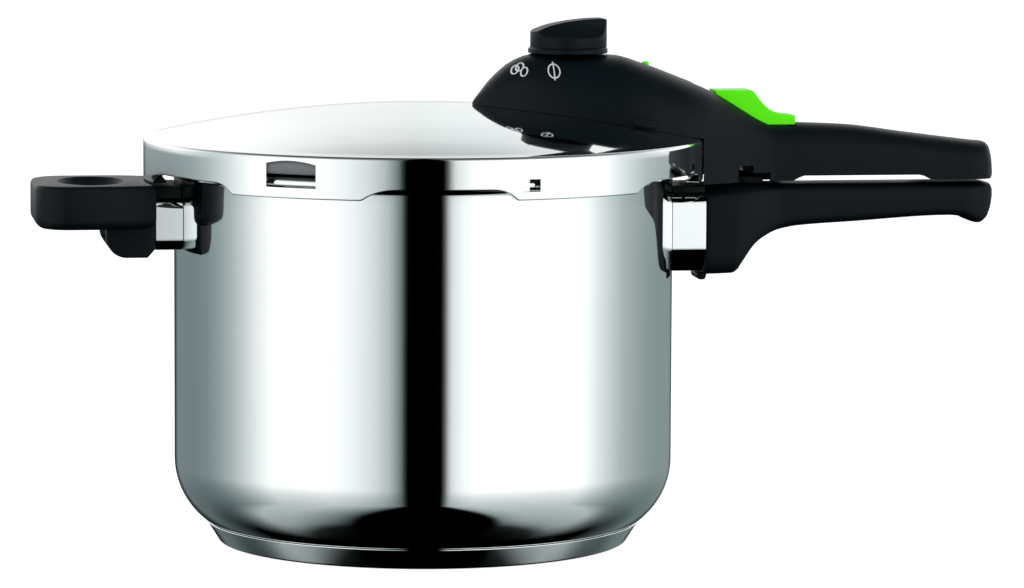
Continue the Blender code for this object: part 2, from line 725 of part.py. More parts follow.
def lid_shell():
    inner = LID_RADIUS - SKIRT_WALL
    lip = inner - LUG_REACH
    outside = dome_profile(0.0, DOME_EDGE_RADIUS)
    knuckle = arc((DOME_EDGE_RADIUS, SHOULDER_Z - SKIRT_KNUCKLE), SKIRT_KNUCKLE,
                  math.pi / 2.0, 0.0, 3)
    skirt = [
        (LID_RADIUS, LID_BOTTOM_Z),
        (lip, LID_BOTTOM_Z),
        (lip, LUG_TOP_Z),
        (inner, LUG_TOP_Z),
        (inner, SHOULDER_Z - SKIRT_KNUCKLE),
    ]
    inside = list(reversed(dome_profile(SKIRT_WALL, DOME_EDGE_RADIUS - 0.6 * MM)))
    shell = turned("lid_shell", outside + knuckle[1:] + skirt + inside, STEEL)
    for index in range(LUG_COUNT):
        middle = LUG_OFFSET + LUG_PITCH * (index + 0.5)
        cut(shell, sector(f"skirt_gap_{index}", lip - 3.0 * MM, LID_RADIUS + 5.0 * MM,
                          LID_BOTTOM_Z - 3.0 * MM, SKIRT_GAP_Z, middle, LUG_PITCH - LUG_SPAN))
    window_z = LID_BOTTOM_Z + WINDOW_LIFT
    window_at = LUG_OFFSET - 2.0 * LUG_PITCH + WINDOW_TURN
    vent_z = LID_BOTTOM_Z + VENT_LIFT
    cut(shell,
        sector("window_cut", inner - 3.0 * MM, LID_RADIUS + 5.0 * MM, window_z,
               window_z + WINDOW_HEIGHT, window_at, WINDOW_SPAN, 3),
        sector("vent_cut", inner - 3.0 * MM, LID_RADIUS + 5.0 * MM, vent_z,
               vent_z + VENT_HEIGHT, VENT_AZIMUTH, VENT_WIDTH / LID_RADIUS, 2))
    high = SHOULDER_Z + DOME_RISE + 5.0 * MM
    low = LUG_TOP_Z
    cut(shell,
        rod("valve_hole", VALVE_TUBE_RADIUS + GAP, low, high, STEEL, (VALVE_X, 0.0)),
        rod("indicator_hole", BUSH_RADIUS - 1.0 * MM + GAP, low, high, STEEL, (INDICATOR_X, 0.0)),
        rod("safety_hole", SAFETY_RADIUS + GAP, low, high, STEEL, (SAFETY_X, SAFETY_Y)))
    return shell


def lid_gasket():
    """A C-section ring that seals the lid's underside against the pot's rim."""
    outer = LID_RADIUS - SKIRT_WALL - GAP
    inner = outer - GASKET_DEPTH
    low = POT_HEIGHT + GAP
    high = SHOULDER_Z - SKIRT_KNUCKLE - GAP
    profile = [
        (inner, low),
        (outer, low),
        (outer, high),
        (inner, high),
        (inner, high - GASKET_LIP),
        (outer - GASKET_LIP, high - GASKET_LIP),
        (outer - GASKET_LIP, low + GASKET_LIP),
        (inner, low + GASKET_LIP),
    ]
    return turned("lid_gasket", profile, RUBBER, ring=True)


def lid_bracket():
    """A strap welded on the dome that steps over the skirt to carry the lid handle."""
    thick = 2.0 * MM
    start = LID_RADIUS - 20.0 * MM
    crest = LID_RADIUS - 6.0 * MM
    face = LID_RADIUS + 0.8 * MM
    seat_z = LID_BOTTOM_Z + 9.0 * MM
    shoulder = SHOULDER_Z + 1.2 * MM
    outline = [
        (start, dome_height(start) + GAP),
        (crest, dome_height(crest) + GAP),
        (crest + 1.0 * MM, shoulder),
        (face, shoulder),
        (face, seat_z),
        (strap_end(), seat_z),
        (strap_end(), seat_z + thick),
        (face + thick, seat_z + thick),
        (face + thick, shoulder + thick),
        (crest, shoulder + thick),
        (start, dome_height(start) + GAP + thick),
    ]
    strap = sheet_across("lid_bracket", outline, 8.0 * MM, STEEL)
    cut(strap, rod("lid_bracket_thread", SCREW_RADIUS + GAP, seat_z - 5.0 * MM,
                   seat_z + 5.0 * MM, STEEL, (front_screw_x(), 0.0), 16))
    return strap


def front_screw_x():
    return LID_RADIUS + 8.0 * MM


def strap_end():
    return front_screw_x() + 4.8 * MM


# ---------------------------------------------------------------- lid handle


def lid_handle_top():
    """(x, z) points along the top of the pod and the grip, in order from the nose."""
    points = [
        (-104.5, 16.5), (-103.8, 18.4), (-101.2, 21.9), (-97.2, 26.6), (-90.5, 31.4), (-81.5, 35.8),
        (-76.0, 36.5), (-40.0, 35.5), (-25.7, 31.6), (-11.2, 26.1), (3.4, 20.1), (17.0, 12.6),
        (30.0, 5.2), (43.5, 4.8), (65.5, 3.8), (95.0, 0.0), (124.4, -3.8), (128.1, -4.8),
        (131.0, -7.9), (133.0, -13.5),
    ]
    pod_along, pod_up = POD_REACH / 104.5, POD_RISE / 36.5
    grip_along = LID_HANDLE_REACH / 133.0
    return [
        (LID_RADIUS + along * (pod_along if along < 0.0 else grip_along),
         SHOULDER_Z + up * (pod_up if along < 0.0 else MM))
        for along, up in points
    ]


def lid_handle_half_width(x):
    """Half the width in plan: a teardrop pod that narrows to the grip behind the lid's edge."""
    middle_x = LID_RADIUS - POD_REACH + POD_SWELL
    if x < middle_x:
        ahead = min((middle_x - x) / POD_SWELL, 0.995)
        return POD_HALF_WIDTH * math.sqrt(1.0 - ahead**1.5)
    grip = LID_HANDLE_HALF_WIDTH
    flare = POD_HALF_WIDTH - grip
    end_x = LID_RADIUS + LID_HANDLE_REACH
    widths = [
        (middle_x, POD_HALF_WIDTH),
        (LID_RADIUS - 12.0 * MM, grip + 0.96 * flare),
        (LID_RADIUS - 3.0 * MM, grip + 0.80 * flare),
        (LID_RADIUS + 6.0 * MM, grip + 0.52 * flare),
        (LID_RADIUS + 15.0 * MM, grip + 0.25 * flare),
        (LID_RADIUS + 24.0 * MM, grip + 0.07 * flare),
        (LID_RADIUS + 32.0 * MM, grip),
        (end_x - 9.0 * MM, grip),
        (end_x - 5.0 * MM, 0.87 * grip),
        (end_x - 2.0 * MM, 0.66 * grip),
        (end_x, 0.35 * grip),
    ]
    return interpolate(widths, x)


def lid_handle_foot(x):
    """Height of the grip's lower edge: level, with a shallow recess along the middle."""
    low = LID_HANDLE_BOTTOM_Z
    start, end = LID_RADIUS + 43.5 * MM, LID_RADIUS + LID_HANDLE_REACH - 28.0 * MM
    ramp = 4.0 * MM
    return interpolate([
        (start - ramp, low),
        (start, low + LID_HANDLE_RECESS),
        (end, low + LID_HANDLE_RECESS),
        (end + ramp, low),
    ], x)


def lid_handle_stations():
    nose_x = LID_RADIUS - POD_REACH
    rounds = [nose_x + share * POD_SWELL for share in (0.006, 0.03, 0.08, 0.16, 0.3, 0.5, 1.0)]
    tops = [x for x, _ in lid_handle_top()]
    steps = [LID_RADIUS + 39.5 * MM, LID_RADIUS + 43.5 * MM,
             LID_RADIUS + LID_HANDLE_REACH - 28.0 * MM, LID_RADIUS + LID_HANDLE_REACH - 24.0 * MM]
    kept = []
    for x in sorted(rounds + tops + steps):
        if not kept or x - kept[-1] > 1.2 * MM:
            kept.append(x)
    return kept


def lid_clearance(name, clearance):
    """A solid a little larger than the lid, which shapes what lies over the dome."""
    edge = LID_RADIUS + 0.5 * MM
    profile = dome_profile(-clearance, edge)
    profile += [(edge, LID_BOTTOM_Z - 10.0 * MM), (0.0, LID_BOTTOM_Z - 10.0 * MM)]
    return turned(name, profile, STEEL)


def lid_handle_shell():
    top = lid_handle_top()
    wall = LID_HANDLE_WALL
    stations = lid_handle_stations()
    outer = []
    inner = []
    for x in stations:
        half, high = lid_handle_half_width(x), interpolate(top, x)
        outer.append((x, hood_section(half, lid_handle_foot(x), high)))
        if stations[0] + 2.5 * wall < x < stations[-1] - 1.3 * wall:
            inner.append((x, hood_section(half - wall, LID_BOTTOM_Z - 9.0 * MM, high - wall, 0.5)))
    shell = loft("lid_handle_shell", outer, BLACK)
    hollow = loft("lid_handle_hollow", inner, BLACK)
    cut(shell, hollow)
    boss_x = rear_screw_x()
    boss_low = plate_low() + HANDLE_PLATE + GAP
    boss_top = interpolate(top, boss_x) - 1.0 * MM
    bore_top = boss_low + 9.0 * MM
    boss = turned("rear_boss", [
        (0.0, bore_top),
        (SCREW_RADIUS + GAP, bore_top),
        (SCREW_RADIUS + GAP, boss_low),
        (SCREW_RADIUS + 2.0 * MM, boss_low),
        (SCREW_RADIUS + 2.0 * MM, boss_top),
        (0.0, boss_top),
    ], BLACK, (boss_x, 0.0), 16)
    join(shell, boss)
    roof_z = POD_TOP_Z
    cut(shell,
        lid_clearance("dome_relief", DOME_CLEARANCE),
        rod("dial_hole", DIAL_STEM_RADIUS + 2.0 * GAP, roof_z - 12.0 * MM, roof_z + 5.0 * MM, BLACK,
            (VALVE_X, 0.0)),
        rod("dial_spotface", DIAL_RADIUS + 2.0 * GAP, roof_z - 0.5 * MM, roof_z + 9.0 * MM, BLACK,
            (VALVE_X, 0.0), 48),
        rod("indicator_window", INDICATOR_RADIUS + 2.0 * GAP, SHOULDER_Z + 20.0 * MM, roof_z, BLACK,
            (INDICATOR_X, 0.0), 16),
        slider_slot(), *notch_cutters("shell"))
    return shell


def slider_slot():
    side = SLIDER_HALF_WIDTH + GAP
    start = LID_RADIUS + SLIDER_START - SLIDER_TRAVEL - GAP
    end = LID_RADIUS + SLIDER_START + SLIDER_LENGTH + GAP
    return block("slider_slot", (start, -side, SHOULDER_Z - 2.0 * MM),
                 (end, side, POD_TOP_Z + 5.0 * MM), BLACK)


def notch_cutters(owner):
    """The notch that the keeper passes through as the lid turns, open on the -Y side."""
    start = KEEPER_X - 2.8 * MM
    end = KEEPER_X + KEEPER_LENGTH + 1.4 * MM
    deep_end = BOLT_X + 1.4 * MM
    far = KEEPER_HALF_WIDTH + 2.0 * GAP
    low = LID_HANDLE_BOTTOM_Z - 5.0 * MM
    keeper_top = POT_HANDLE_TOP_Z + KEEPER_RISE
    return [
        block(f"{owner}_notch", (start, -2.0 * POD_HALF_WIDTH, low), (end, far, keeper_top + 2.4 * MM),
              BLACK),
        block(f"{owner}_notch_deep", (start, -2.0 * POD_HALF_WIDTH, low),
              (deep_end, far, keeper_top + 5.7 * MM), BLACK),
    ]


def plate_low():
    return LID_HANDLE_BOTTOM_Z + LID_HANDLE_RECESS + GAP


def rear_screw_x():
    return LID_RADIUS + LID_HANDLE_REACH - 42.0 * MM


def bridge_top():
    """Top of the block in the handle that guides the bolt."""
    return POT_HANDLE_TOP_Z + KEEPER_RISE + 7.2 * MM


def lid_handle_base():
    """The plate that closes the grip's underside, with the screw pillar and the bolt guide."""
    side = LID_HANDLE_HALF_WIDTH - LID_HANDLE_WALL - GAP
    start = LID_RADIUS + 2.8 * MM
    end = LID_RADIUS + LID_HANDLE_REACH - 13.0 * MM
    low = plate_low()
    deck = low + HANDLE_PLATE
    bridge_start = KEEPER_X - 5.0 * MM
    bridge_end = KEEPER_X + KEEPER_LENGTH + 4.0 * MM
    plate = sheet_across("lid_handle_base", [
        (start, low),
        (end, low),
        (end, deck),
        (bridge_end, deck),
        (bridge_end, bridge_top()),
        (bridge_start, bridge_top()),
        (bridge_start, deck),
        (start, deck),
    ], side, BLACK)
    pillar = rod("front_pillar", SCREW_HEAD_RADIUS + GAP + 1.2 * MM, low + 0.5 * MM,
                 LID_BOTTOM_Z + 9.0 * MM - GAP, BLACK, (front_screw_x(), 0.0), 20)
    join(plate, pillar)
    cut(plate,
        screw_hole("front_screw_hole", front_screw_x(), 0.0, low - 3.0 * MM, front_seat_z(),
                   LID_BOTTOM_Z + 15.0 * MM),
        rod("rear_screw_hole", SCREW_RADIUS + GAP, low - 3.0 * MM, low + 5.0 * MM, BLACK,
            (rear_screw_x(), 0.0), 16),
        rod("bolt_hole", BOLT_RADIUS + GAP, low - 3.0 * MM, bridge_top() + 3.0 * MM, BLACK,
            (BOLT_X, 0.0), 16),
        *notch_cutters("plate"))
    return plate


def front_seat_z():
    return plate_low() + SCREW_HEAD_HEIGHT + 1.0 * MM


# ---------------------------------------------------------------- lid lock


def wedge_height(x):
    """Height of the wedge's sloped underside at x, with the slider at rest."""
    return bolt_head_z() + 5.2 * MM + GAP + WEDGE_SLOPE * (BOLT_X - BOLT_HEAD_RADIUS - x)


def bolt_head_z():
    return bridge_top() + 7.0 * MM


def lock_slider():
    """The thumb slider: a ramped button, a wedge below it and a foot that keeps it in its slot."""
    start = LID_RADIUS + SLIDER_START
    end = start + SLIDER_LENGTH
    top = SHOULDER_Z + SLIDER_TOP
    deck = SHOULDER_Z + SLIDER_FOOT
    sole = deck - 0.8 * MM
    scoop_low = top - deck - 3.4 * MM
    scoop = [
        (start + 18.0 * MM + 16.5 * MM * share, top - scoop_low * math.sin(0.5 * math.pi * share))
        for share in (0.0, 0.15, 0.32, 0.52, 0.75, 1.0)
    ]
    outline = [(start, sole), (start, top - 1.0 * MM), (start + 1.0 * MM, top), *scoop,
               (end, deck + 3.2 * MM), (end, sole)]
    button = sheet_across("lock_slider", outline, SLIDER_HALF_WIDTH, GREEN)
    wedge_start = BOLT_X - BOLT_HEAD_RADIUS - 0.2 * MM
    wedge_end = BOLT_X + BOLT_HEAD_RADIUS + SLIDER_TRAVEL
    wedge = sheet_across("slider_wedge", [
        (wedge_start, wedge_height(wedge_start)),
        (wedge_end, wedge_height(wedge_end)),
        (wedge_end, sole + 1.0 * MM),
        (wedge_start, sole + 1.0 * MM),
    ], WEDGE_HALF_WIDTH, GREEN)
    neck_start = wedge_end + 0.8 * MM
    foot_high = SHOULDER_Z + SLIDER_FOOT - LID_HANDLE_WALL - 3.6 * MM
    neck = block("slider_neck", (neck_start, -WEDGE_HALF_WIDTH, foot_high - 2.6 * MM),
                 (end - 1.5 * MM, WEDGE_HALF_WIDTH, sole + 1.0 * MM), GREEN)
    side = SLIDER_HALF_WIDTH + 1.6 * MM
    foot = block("slider_foot", (neck_start, -side, foot_high - 2.5 * MM),
                 (end - 1.5 * MM, side, foot_high), GREEN)
    join(button, wedge, neck, foot)
    return button


def lock_bolt():
    tip_z = POT_HANDLE_TOP_Z + KEEPER_RISE + 2.0 * MM
    head_z = bolt_head_z()
    profile = [
        (0.0, tip_z),
        (BOLT_RADIUS - 0.5 * MM, tip_z),
        (BOLT_RADIUS, tip_z + 0.5 * MM),
        (BOLT_RADIUS, head_z),
        (BOLT_HEAD_RADIUS, head_z),
        (BOLT_HEAD_RADIUS, head_z + 12.0 * MM),
        (0.0, head_z + 12.0 * MM),
    ]
    bolt = turned("lock_bolt", profile, STEEL, (BOLT_X, 0.0), 20)
    near, far = BOLT_X - 10.0 * MM, BOLT_X + 10.0 * MM
    cut(bolt, sheet_across("bolt_slope", [
        (near, wedge_height(near) - GAP),
        (far, wedge_height(far) - GAP),
        (far, head_z + 25.0 * MM),
        (near, head_z + 25.0 * MM),
    ], 8.0 * MM, STEEL))
    return bolt


def lock():
    lock_slider()
    lock_bolt()
    coil("lock_spring", (BOLT_X, 0.0), bridge_top() + GAP, bolt_head_z() - GAP,
         BOLT_RADIUS + 1.2 * MM, 3, STEEL)


# ---------------------------------------------------------------- valves


def valve_seat_z():
    """Underside of the operating valve's flange, just above its seal on the dome."""
    return dome_height(VALVE_X - VALVE_FLANGE_RADIUS) + SEAL_HEIGHT + 2.0 * GAP


def valve_under_z():
    """Top of the valve's nut, just below the lowest part of the lid that it covers."""
    return dome_height(VALVE_X + VALVE_NUT_RADIUS, SKIRT_WALL) - 2.0 * GAP


def valve_top_z():
    return POD_TOP_Z - 6.5 * MM


def operating_valve():
    centre = (VALVE_X, 0.0)
    flange_z = valve_seat_z()
    bottom_z = valve_under_z() - VALVE_NUT_HEIGHT - 2.0 * MM
    seat_z = bottom_z + 3.0 * MM
    turned("valve_body", [
        (VALVE_ORIFICE_RADIUS, bottom_z),
        (VALVE_TUBE_RADIUS, bottom_z),
        (VALVE_TUBE_RADIUS, flange_z),
        (VALVE_FLANGE_RADIUS, flange_z),
        (VALVE_FLANGE_RADIUS, flange_z + VALVE_FLANGE_HEIGHT),
        (VALVE_TUBE_RADIUS, flange_z + VALVE_FLANGE_HEIGHT),
        (VALVE_TUBE_RADIUS, valve_top_z()),
        (VALVE_BORE_RADIUS, valve_top_z()),
        (VALVE_BORE_RADIUS, seat_z + VALVE_BORE_RADIUS - VALVE_ORIFICE_RADIUS),
        (VALVE_ORIFICE_RADIUS, seat_z),
    ], BRASS, centre, 28, ring=True)
    tube("valve_seal", VALVE_TUBE_RADIUS + GAP, VALVE_FLANGE_RADIUS,
         flange_z - GAP - SEAL_HEIGHT, flange_z - GAP, RUBBER, centre, 28)
    nut("valve_nut", VALVE_TUBE_RADIUS + GAP, VALVE_NUT_RADIUS, valve_under_z() - VALVE_NUT_HEIGHT,
        valve_under_z(), STEEL, centre)
    plunger_low = seat_z + VALVE_BORE_RADIUS - VALVE_ORIFICE_RADIUS
    stem = 1.5 * MM
    head_z = plunger_low + 3.0 * MM
    cap_z = valve_top_z() + GAP
    turned("valve_plunger", [
        (0.0, seat_z + GAP),
        (VALVE_ORIFICE_RADIUS - 0.1 * MM, seat_z + GAP),
        (VALVE_BORE_RADIUS - GAP, plunger_low + GAP),
        (VALVE_BORE_RADIUS - GAP, head_z),
        (stem, head_z),
        (stem, cap_z - 2.5 * MM),
        (0.0, cap_z - 2.5 * MM),
    ], STEEL, centre, 20)
    coil("valve_spring", centre, head_z + GAP, cap_z - GAP, VALVE_BORE_RADIUS - SPRING_WIRE - 0.3 * MM,
         6, STEEL)
    rod("valve_cap", VALVE_TUBE_RADIUS, cap_z, cap_z + 2.0 * MM, BRASS, centre, 28)


def dial():
    """The pressure selector: a grip on a stem that turns in the pod's roof."""
    centre = (VALVE_X, 0.0)
    seat_z = POD_TOP_Z - 0.5 * MM + GAP
    collar_top = seat_z + DIAL_COLLAR_HEIGHT
    turned("dial_collar", [
        (DIAL_STEM_RADIUS + GAP, seat_z),
        (DIAL_RADIUS - 0.6 * MM, seat_z),
        (DIAL_RADIUS, seat_z + 0.6 * MM),
        (DIAL_RADIUS, collar_top - 0.5 * MM),
        (DIAL_RADIUS - 0.5 * MM, collar_top),
        (DIAL_STEM_RADIUS + GAP, collar_top),
    ], BLACK, centre, 48, ring=True)
    stem_low = POD_TOP_Z - 8.5 * MM
    deck = collar_top + GAP
    inner = DIAL_STEM_RADIUS - DIAL_STEM_WALL
    grip_top = collar_top + DIAL_GRIP_HEIGHT
    grip = turned("dial_grip", [
        (0.0, deck + 2.5 * MM),
        (inner, deck + 2.5 * MM),
        (inner, stem_low),
        (DIAL_STEM_RADIUS, stem_low),
        (DIAL_STEM_RADIUS, deck),
        (DIAL_RADIUS - 0.4 * MM, deck),
        (DIAL_RADIUS - 0.8 * MM, deck + 7.0 * MM),
        (DIAL_RADIUS - 1.4 * MM, grip_top - 0.8 * MM),
        (DIAL_RADIUS - 2.4 * MM, grip_top),
        (0.0, grip_top),
    ], BLACK, centre, 48)
    scoop_radius = 46.0 * MM
    scoop_offset = 7.0 * MM + scoop_radius
    for side in (-1.0, 1.0):
        cut(grip, turned(f"dial_scoop_{'near' if side < 0 else 'far'}", [
            (0.0, deck + 3.2 * MM),
            (scoop_radius - 5.0 * MM, deck + 3.2 * MM),
            (scoop_radius - 1.2 * MM, deck + 5.4 * MM),
            (scoop_radius, deck + 9.0 * MM),
            (scoop_radius, grip_top + 5.0 * MM),
            (0.0, grip_top + 5.0 * MM),
        ], BLACK, (VALVE_X, side * scoop_offset), 96))
    cut(grip, sheet_across("dial_slope", [
        (VALVE_X - DIAL_RADIUS - 5.0 * MM, grip_top - 5.6 * MM),
        (VALVE_X - 4.0 * MM, grip_top - 0.9 * MM),
        (VALVE_X + 8.0 * MM, grip_top + 0.02 * MM),
        (VALVE_X + 8.0 * MM, grip_top + 9.0 * MM),
        (VALVE_X - DIAL_RADIUS - 5.0 * MM, grip_top + 9.0 * MM),
    ], 2.0 * DIAL_RADIUS, BLACK))
    ring_high = POD_TOP_Z - LID_HANDLE_WALL - 3.5 * MM
    tube("dial_retainer", DIAL_STEM_RADIUS + GAP, DIAL_STEM_RADIUS + 2.6 * MM,
         ring_high - 1.2 * MM, ring_high, STEEL, centre)


def pressure_indicator():
    centre = (INDICATOR_X, 0.0)
    flange_z = dome_height(INDICATOR_X - BUSH_RADIUS) + 2.0 * GAP
    under_z = dome_height(INDICATOR_X + BUSH_RADIUS, SKIRT_WALL) - 2.0 * GAP
    bore = INDICATOR_RADIUS + GAP
    shank = BUSH_RADIUS - 1.0 * MM
    turned("indicator_bush", [
        (bore, under_z - 3.0 * MM),
        (shank, under_z - 3.0 * MM),
        (shank, flange_z),
        (BUSH_RADIUS + 1.0 * MM, flange_z),
        (BUSH_RADIUS + 1.0 * MM, flange_z + 1.5 * MM),
        (bore, flange_z + 1.5 * MM),
    ], STEEL, centre, 20, ring=True)
    tube("indicator_clip", shank + GAP, shank + 2.2 * MM, under_z - 2.4 * MM, under_z - 1.2 * MM,
         STEEL, centre, 20)
    joint_z = SHOULDER_Z + 18.0 * MM
    foot_z = under_z - 8.5 * MM
    turned("indicator_stem", [
        (0.0, foot_z - 2.0 * MM),
        (shank, foot_z - 2.0 * MM),
        (shank, foot_z - 0.5 * MM),
        (INDICATOR_RADIUS, foot_z + 0.5 * MM),
        (INDICATOR_RADIUS, joint_z),
        (0.0, joint_z),
    ], STEEL, centre, 16)
    top = pod_top_at(INDICATOR_X) + INDICATOR_PROUD
    turned("indicator_cap", [
        (0.0, joint_z + GAP),
        (INDICATOR_RADIUS, joint_z + GAP),
        (INDICATOR_RADIUS, top - 0.6 * MM),
        (0.6 * INDICATOR_RADIUS, top),
        (0.0, top),
    ], GREEN, centre, 16)


def pod_top_at(x):
    return interpolate(lid_handle_top(), x)


def safety_valve():
    centre = (SAFETY_X, SAFETY_Y)
    reach = math.hypot(SAFETY_X, SAFETY_Y)
    flange_z = dome_height(reach - SAFETY_RADIUS - 2.5 * MM) + 2.0 * GAP
    under_z = dome_height(reach + SAFETY_RADIUS + 3.0 * MM, SKIRT_WALL) - 2.0 * GAP
    low = under_z - 5.0 * MM
    top = flange_z + SAFETY_HEIGHT
    bore, orifice = SAFETY_BORE_RADIUS, 1.2 * MM
    seat_z = low + 2.0 * MM
    turned("safety_valve_body", [
        (orifice, low),
        (SAFETY_RADIUS, low),
        (SAFETY_RADIUS, flange_z),
        (SAFETY_RADIUS + 2.0 * MM, flange_z),
        (SAFETY_RADIUS + 2.0 * MM, flange_z + 2.0 * MM),
        (SAFETY_RADIUS, flange_z + 2.0 * MM),
        (SAFETY_RADIUS, top),
        (bore, top),
        (bore, seat_z + bore - orifice),
        (orifice, seat_z),
    ], BRASS, centre, 24, ring=True)
    nut("safety_valve_nut", SAFETY_RADIUS + GAP, SAFETY_RADIUS + 3.0 * MM, low + 1.0 * MM, under_z,
        STEEL, centre)
    pin_low = seat_z + bore - orifice
    head_z = pin_low + 2.0 * MM
    turned("safety_valve_pin", [
        (0.0, seat_z + GAP),
        (orifice - 0.1 * MM, seat_z + GAP),
        (bore - GAP, pin_low + GAP),
        (bore - GAP, head_z),
        (1.0 * MM, head_z),
        (1.0 * MM, top - 3.0 * MM),
        (0.0, top - 3.0 * MM),
    ], STEEL, centre, 16)
    coil("safety_valve_spring", centre, head_z + GAP, top - GAP, bore - SPRING_WIRE - 0.3 * MM, 5, STEEL)
    rod("safety_valve_cap", SAFETY_RADIUS, top + GAP, top + 1.6 * MM, STEEL, centre, 24)


def lid_handle_screws():
    screw("lid_handle_screw_front", front_screw_x(), 0.0,
          front_seat_z() - SCREW_HEAD_HEIGHT - GAP, LID_BOTTOM_Z + 12.5 * MM)
    low = plate_low()
    screw("lid_handle_screw_rear", rear_screw_x(), 0.0, low - SCREW_HEAD_HEIGHT - GAP + 0.1 * MM,
          low + HANDLE_PLATE + 6.0 * MM)


def main():
    clear_scene()
    pot_body()
    base_core()
    base_cap()
    pot_fittings()
    helper_fittings()
    lid_shell()
    lid_gasket()
    lid_bracket()
    lid_handle_shell()
    lid_handle_base()
    lid_handle_screws()
    lock()
    operating_valve()
    dial()
    pressure_indicator()
    safety_valve()


main()
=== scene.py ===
"""The looks of a stovetop pressure cooker with a bayonet lid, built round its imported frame.

Metres, +Z up. The origin is the centre of the resting face, the long handle points along +X and
the viewer stands on the -Y side. Every finished piece has its place in its own mesh.
"""

import contextlib
import json
import logging
import math
from collections.abc import Callable, Iterator, Sequence
from dataclasses import dataclass
from enum import Enum
from typing import ClassVar

import bmesh
import bpy
from mathutils import Euler, Matrix, Vector


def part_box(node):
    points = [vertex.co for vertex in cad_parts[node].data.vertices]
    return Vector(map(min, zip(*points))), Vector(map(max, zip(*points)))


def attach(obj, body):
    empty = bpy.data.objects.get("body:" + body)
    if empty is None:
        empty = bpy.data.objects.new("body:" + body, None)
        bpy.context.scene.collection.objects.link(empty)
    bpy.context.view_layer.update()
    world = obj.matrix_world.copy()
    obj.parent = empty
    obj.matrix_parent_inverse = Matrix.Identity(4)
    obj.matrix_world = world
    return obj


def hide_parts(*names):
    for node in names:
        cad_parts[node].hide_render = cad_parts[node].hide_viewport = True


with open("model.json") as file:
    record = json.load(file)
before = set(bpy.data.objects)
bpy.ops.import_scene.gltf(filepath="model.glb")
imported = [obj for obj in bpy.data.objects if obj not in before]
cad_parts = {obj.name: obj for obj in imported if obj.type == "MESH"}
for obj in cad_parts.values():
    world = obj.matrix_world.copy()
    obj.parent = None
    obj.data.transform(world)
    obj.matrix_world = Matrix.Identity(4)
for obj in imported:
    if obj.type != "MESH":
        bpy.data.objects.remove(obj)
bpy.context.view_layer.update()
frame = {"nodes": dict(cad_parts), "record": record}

MM = 0.001
TURN = 2.0 * math.pi
LATHE_STEPS = 192
WELD = 0.002 * MM
SEAT_GAP = 0.3 * MM
LINE_WANDER = 6.0

Flat = tuple[float, float]
Spot = tuple[float, float, float]
Piece = bpy.types.Object
Rule = Callable[[Vector], bool]

log = logging.getLogger("pressure_cooker")


class Body(str, Enum):
    """The moving bodies that a piece can ride on."""

    POT = "pot"
    LID = "lid"
    DIAL = "dial"
    PLUNGER = "plunger"
    INDICATOR = "indicator"
    SLIDER = "slider"
    BOLT = "bolt"
    RELIEF = "relief_pin"


class Slot(str, Enum):
    """The record's material slots."""

    POLISHED = "polished_steel"
    SATIN = "satin_steel"
    ALUMINIUM = "aluminium_core"
    BLACK = "black_handle_plastic"
    GREEN = "green_plastic"
    SILICONE = "grey_silicone"
    BRASS = "valve_brass"


# ---------------------------------------------------------------- shapes in the plane


def arc(centre: Flat, radius: float, start: float, end: float, steps: int) -> list[Flat]:
    """Gives points along an arc, both ends included.

    Args:
        centre: The arc's centre.
        radius: Its radius.
        start: The first angle in degrees.
        end: The last angle in degrees.
        steps: How many stretches it has.

    Returns:
        The points in order.
    """
    turns = [math.radians(start + (end - start) * step / steps) for step in range(steps + 1)]
    return [(centre[0] + radius * math.cos(t), centre[1] + radius * math.sin(t)) for t in turns]


def flowing(points: Sequence[Flat], x: float) -> float:
    """Reads a smooth curve that passes through points without overshooting them.

    Args:
        points: (x, value) pairs in order of x.
        x: Where to read it.

    Returns:
        The value there, held level past both ends.
    """
    if x <= points[0][0]:
        return points[0][1]
    if x >= points[-1][0]:
        return points[-1][1]
    rises = [(b[1] - a[1]) / (b[0] - a[0]) for a, b in zip(points, points[1:])]
    slopes = [rises[0]]
    for before, after in zip(rises, rises[1:]):
        slopes.append(0.0 if before * after <= 0.0 else 2.0 * before * after / (before + after))
    slopes.append(rises[-1])
    index = max(i for i, point in enumerate(points[:-1]) if point[0] <= x)
    (x_a, y_a), (x_b, y_b) = points[index], points[index + 1]
    run = x_b - x_a
    t = (x - x_a) / run
    return (
        y_a * (1.0 + 2.0 * t) * (1.0 - t) ** 2
        + slopes[index] * run * t * (1.0 - t) ** 2
        + y_b * t * t * (3.0 - 2.0 * t)
        + slopes[index + 1] * run * t * t * (t - 1.0)
    )


def spaced(start: float, end: float, pitch: float) -> list[float]:
    """Even places from start to end, both included, no more than pitch apart."""
    count = max(1, math.ceil((end - start) / pitch))
    return [start + (end - start) * step / count for step in range(count + 1)]


# ---------------------------------------------------------------- work at the bench


def focus(piece: Piece) -> None:
    """Leaves piece as the only selected object, in object mode."""
    if bpy.context.mode != "OBJECT":
        bpy.ops.object.mode_set(mode="OBJECT")
    bpy.ops.object.select_all(action="DESELECT")
    piece.select_set(True)
    bpy.context.view_layer.objects.active = piece


@contextlib.contextmanager
def editing(piece: Piece, kind: str = "VERT") -> Iterator[None]:
    """Opens a piece in edit mode with nothing selected, and closes it again.

    Args:
        piece: The piece to edit.
        kind: The select mode, VERT, EDGE or FACE.

    Yields:
        Nothing; operators act on the piece meanwhile.
    """
    focus(piece)
    bpy.ops.object.mode_set(mode="EDIT")
    bpy.ops.mesh.select_mode(type=kind)
    bpy.ops.mesh.select_all(action="DESELECT")
    yield
    bpy.ops.object.mode_set(mode="OBJECT")


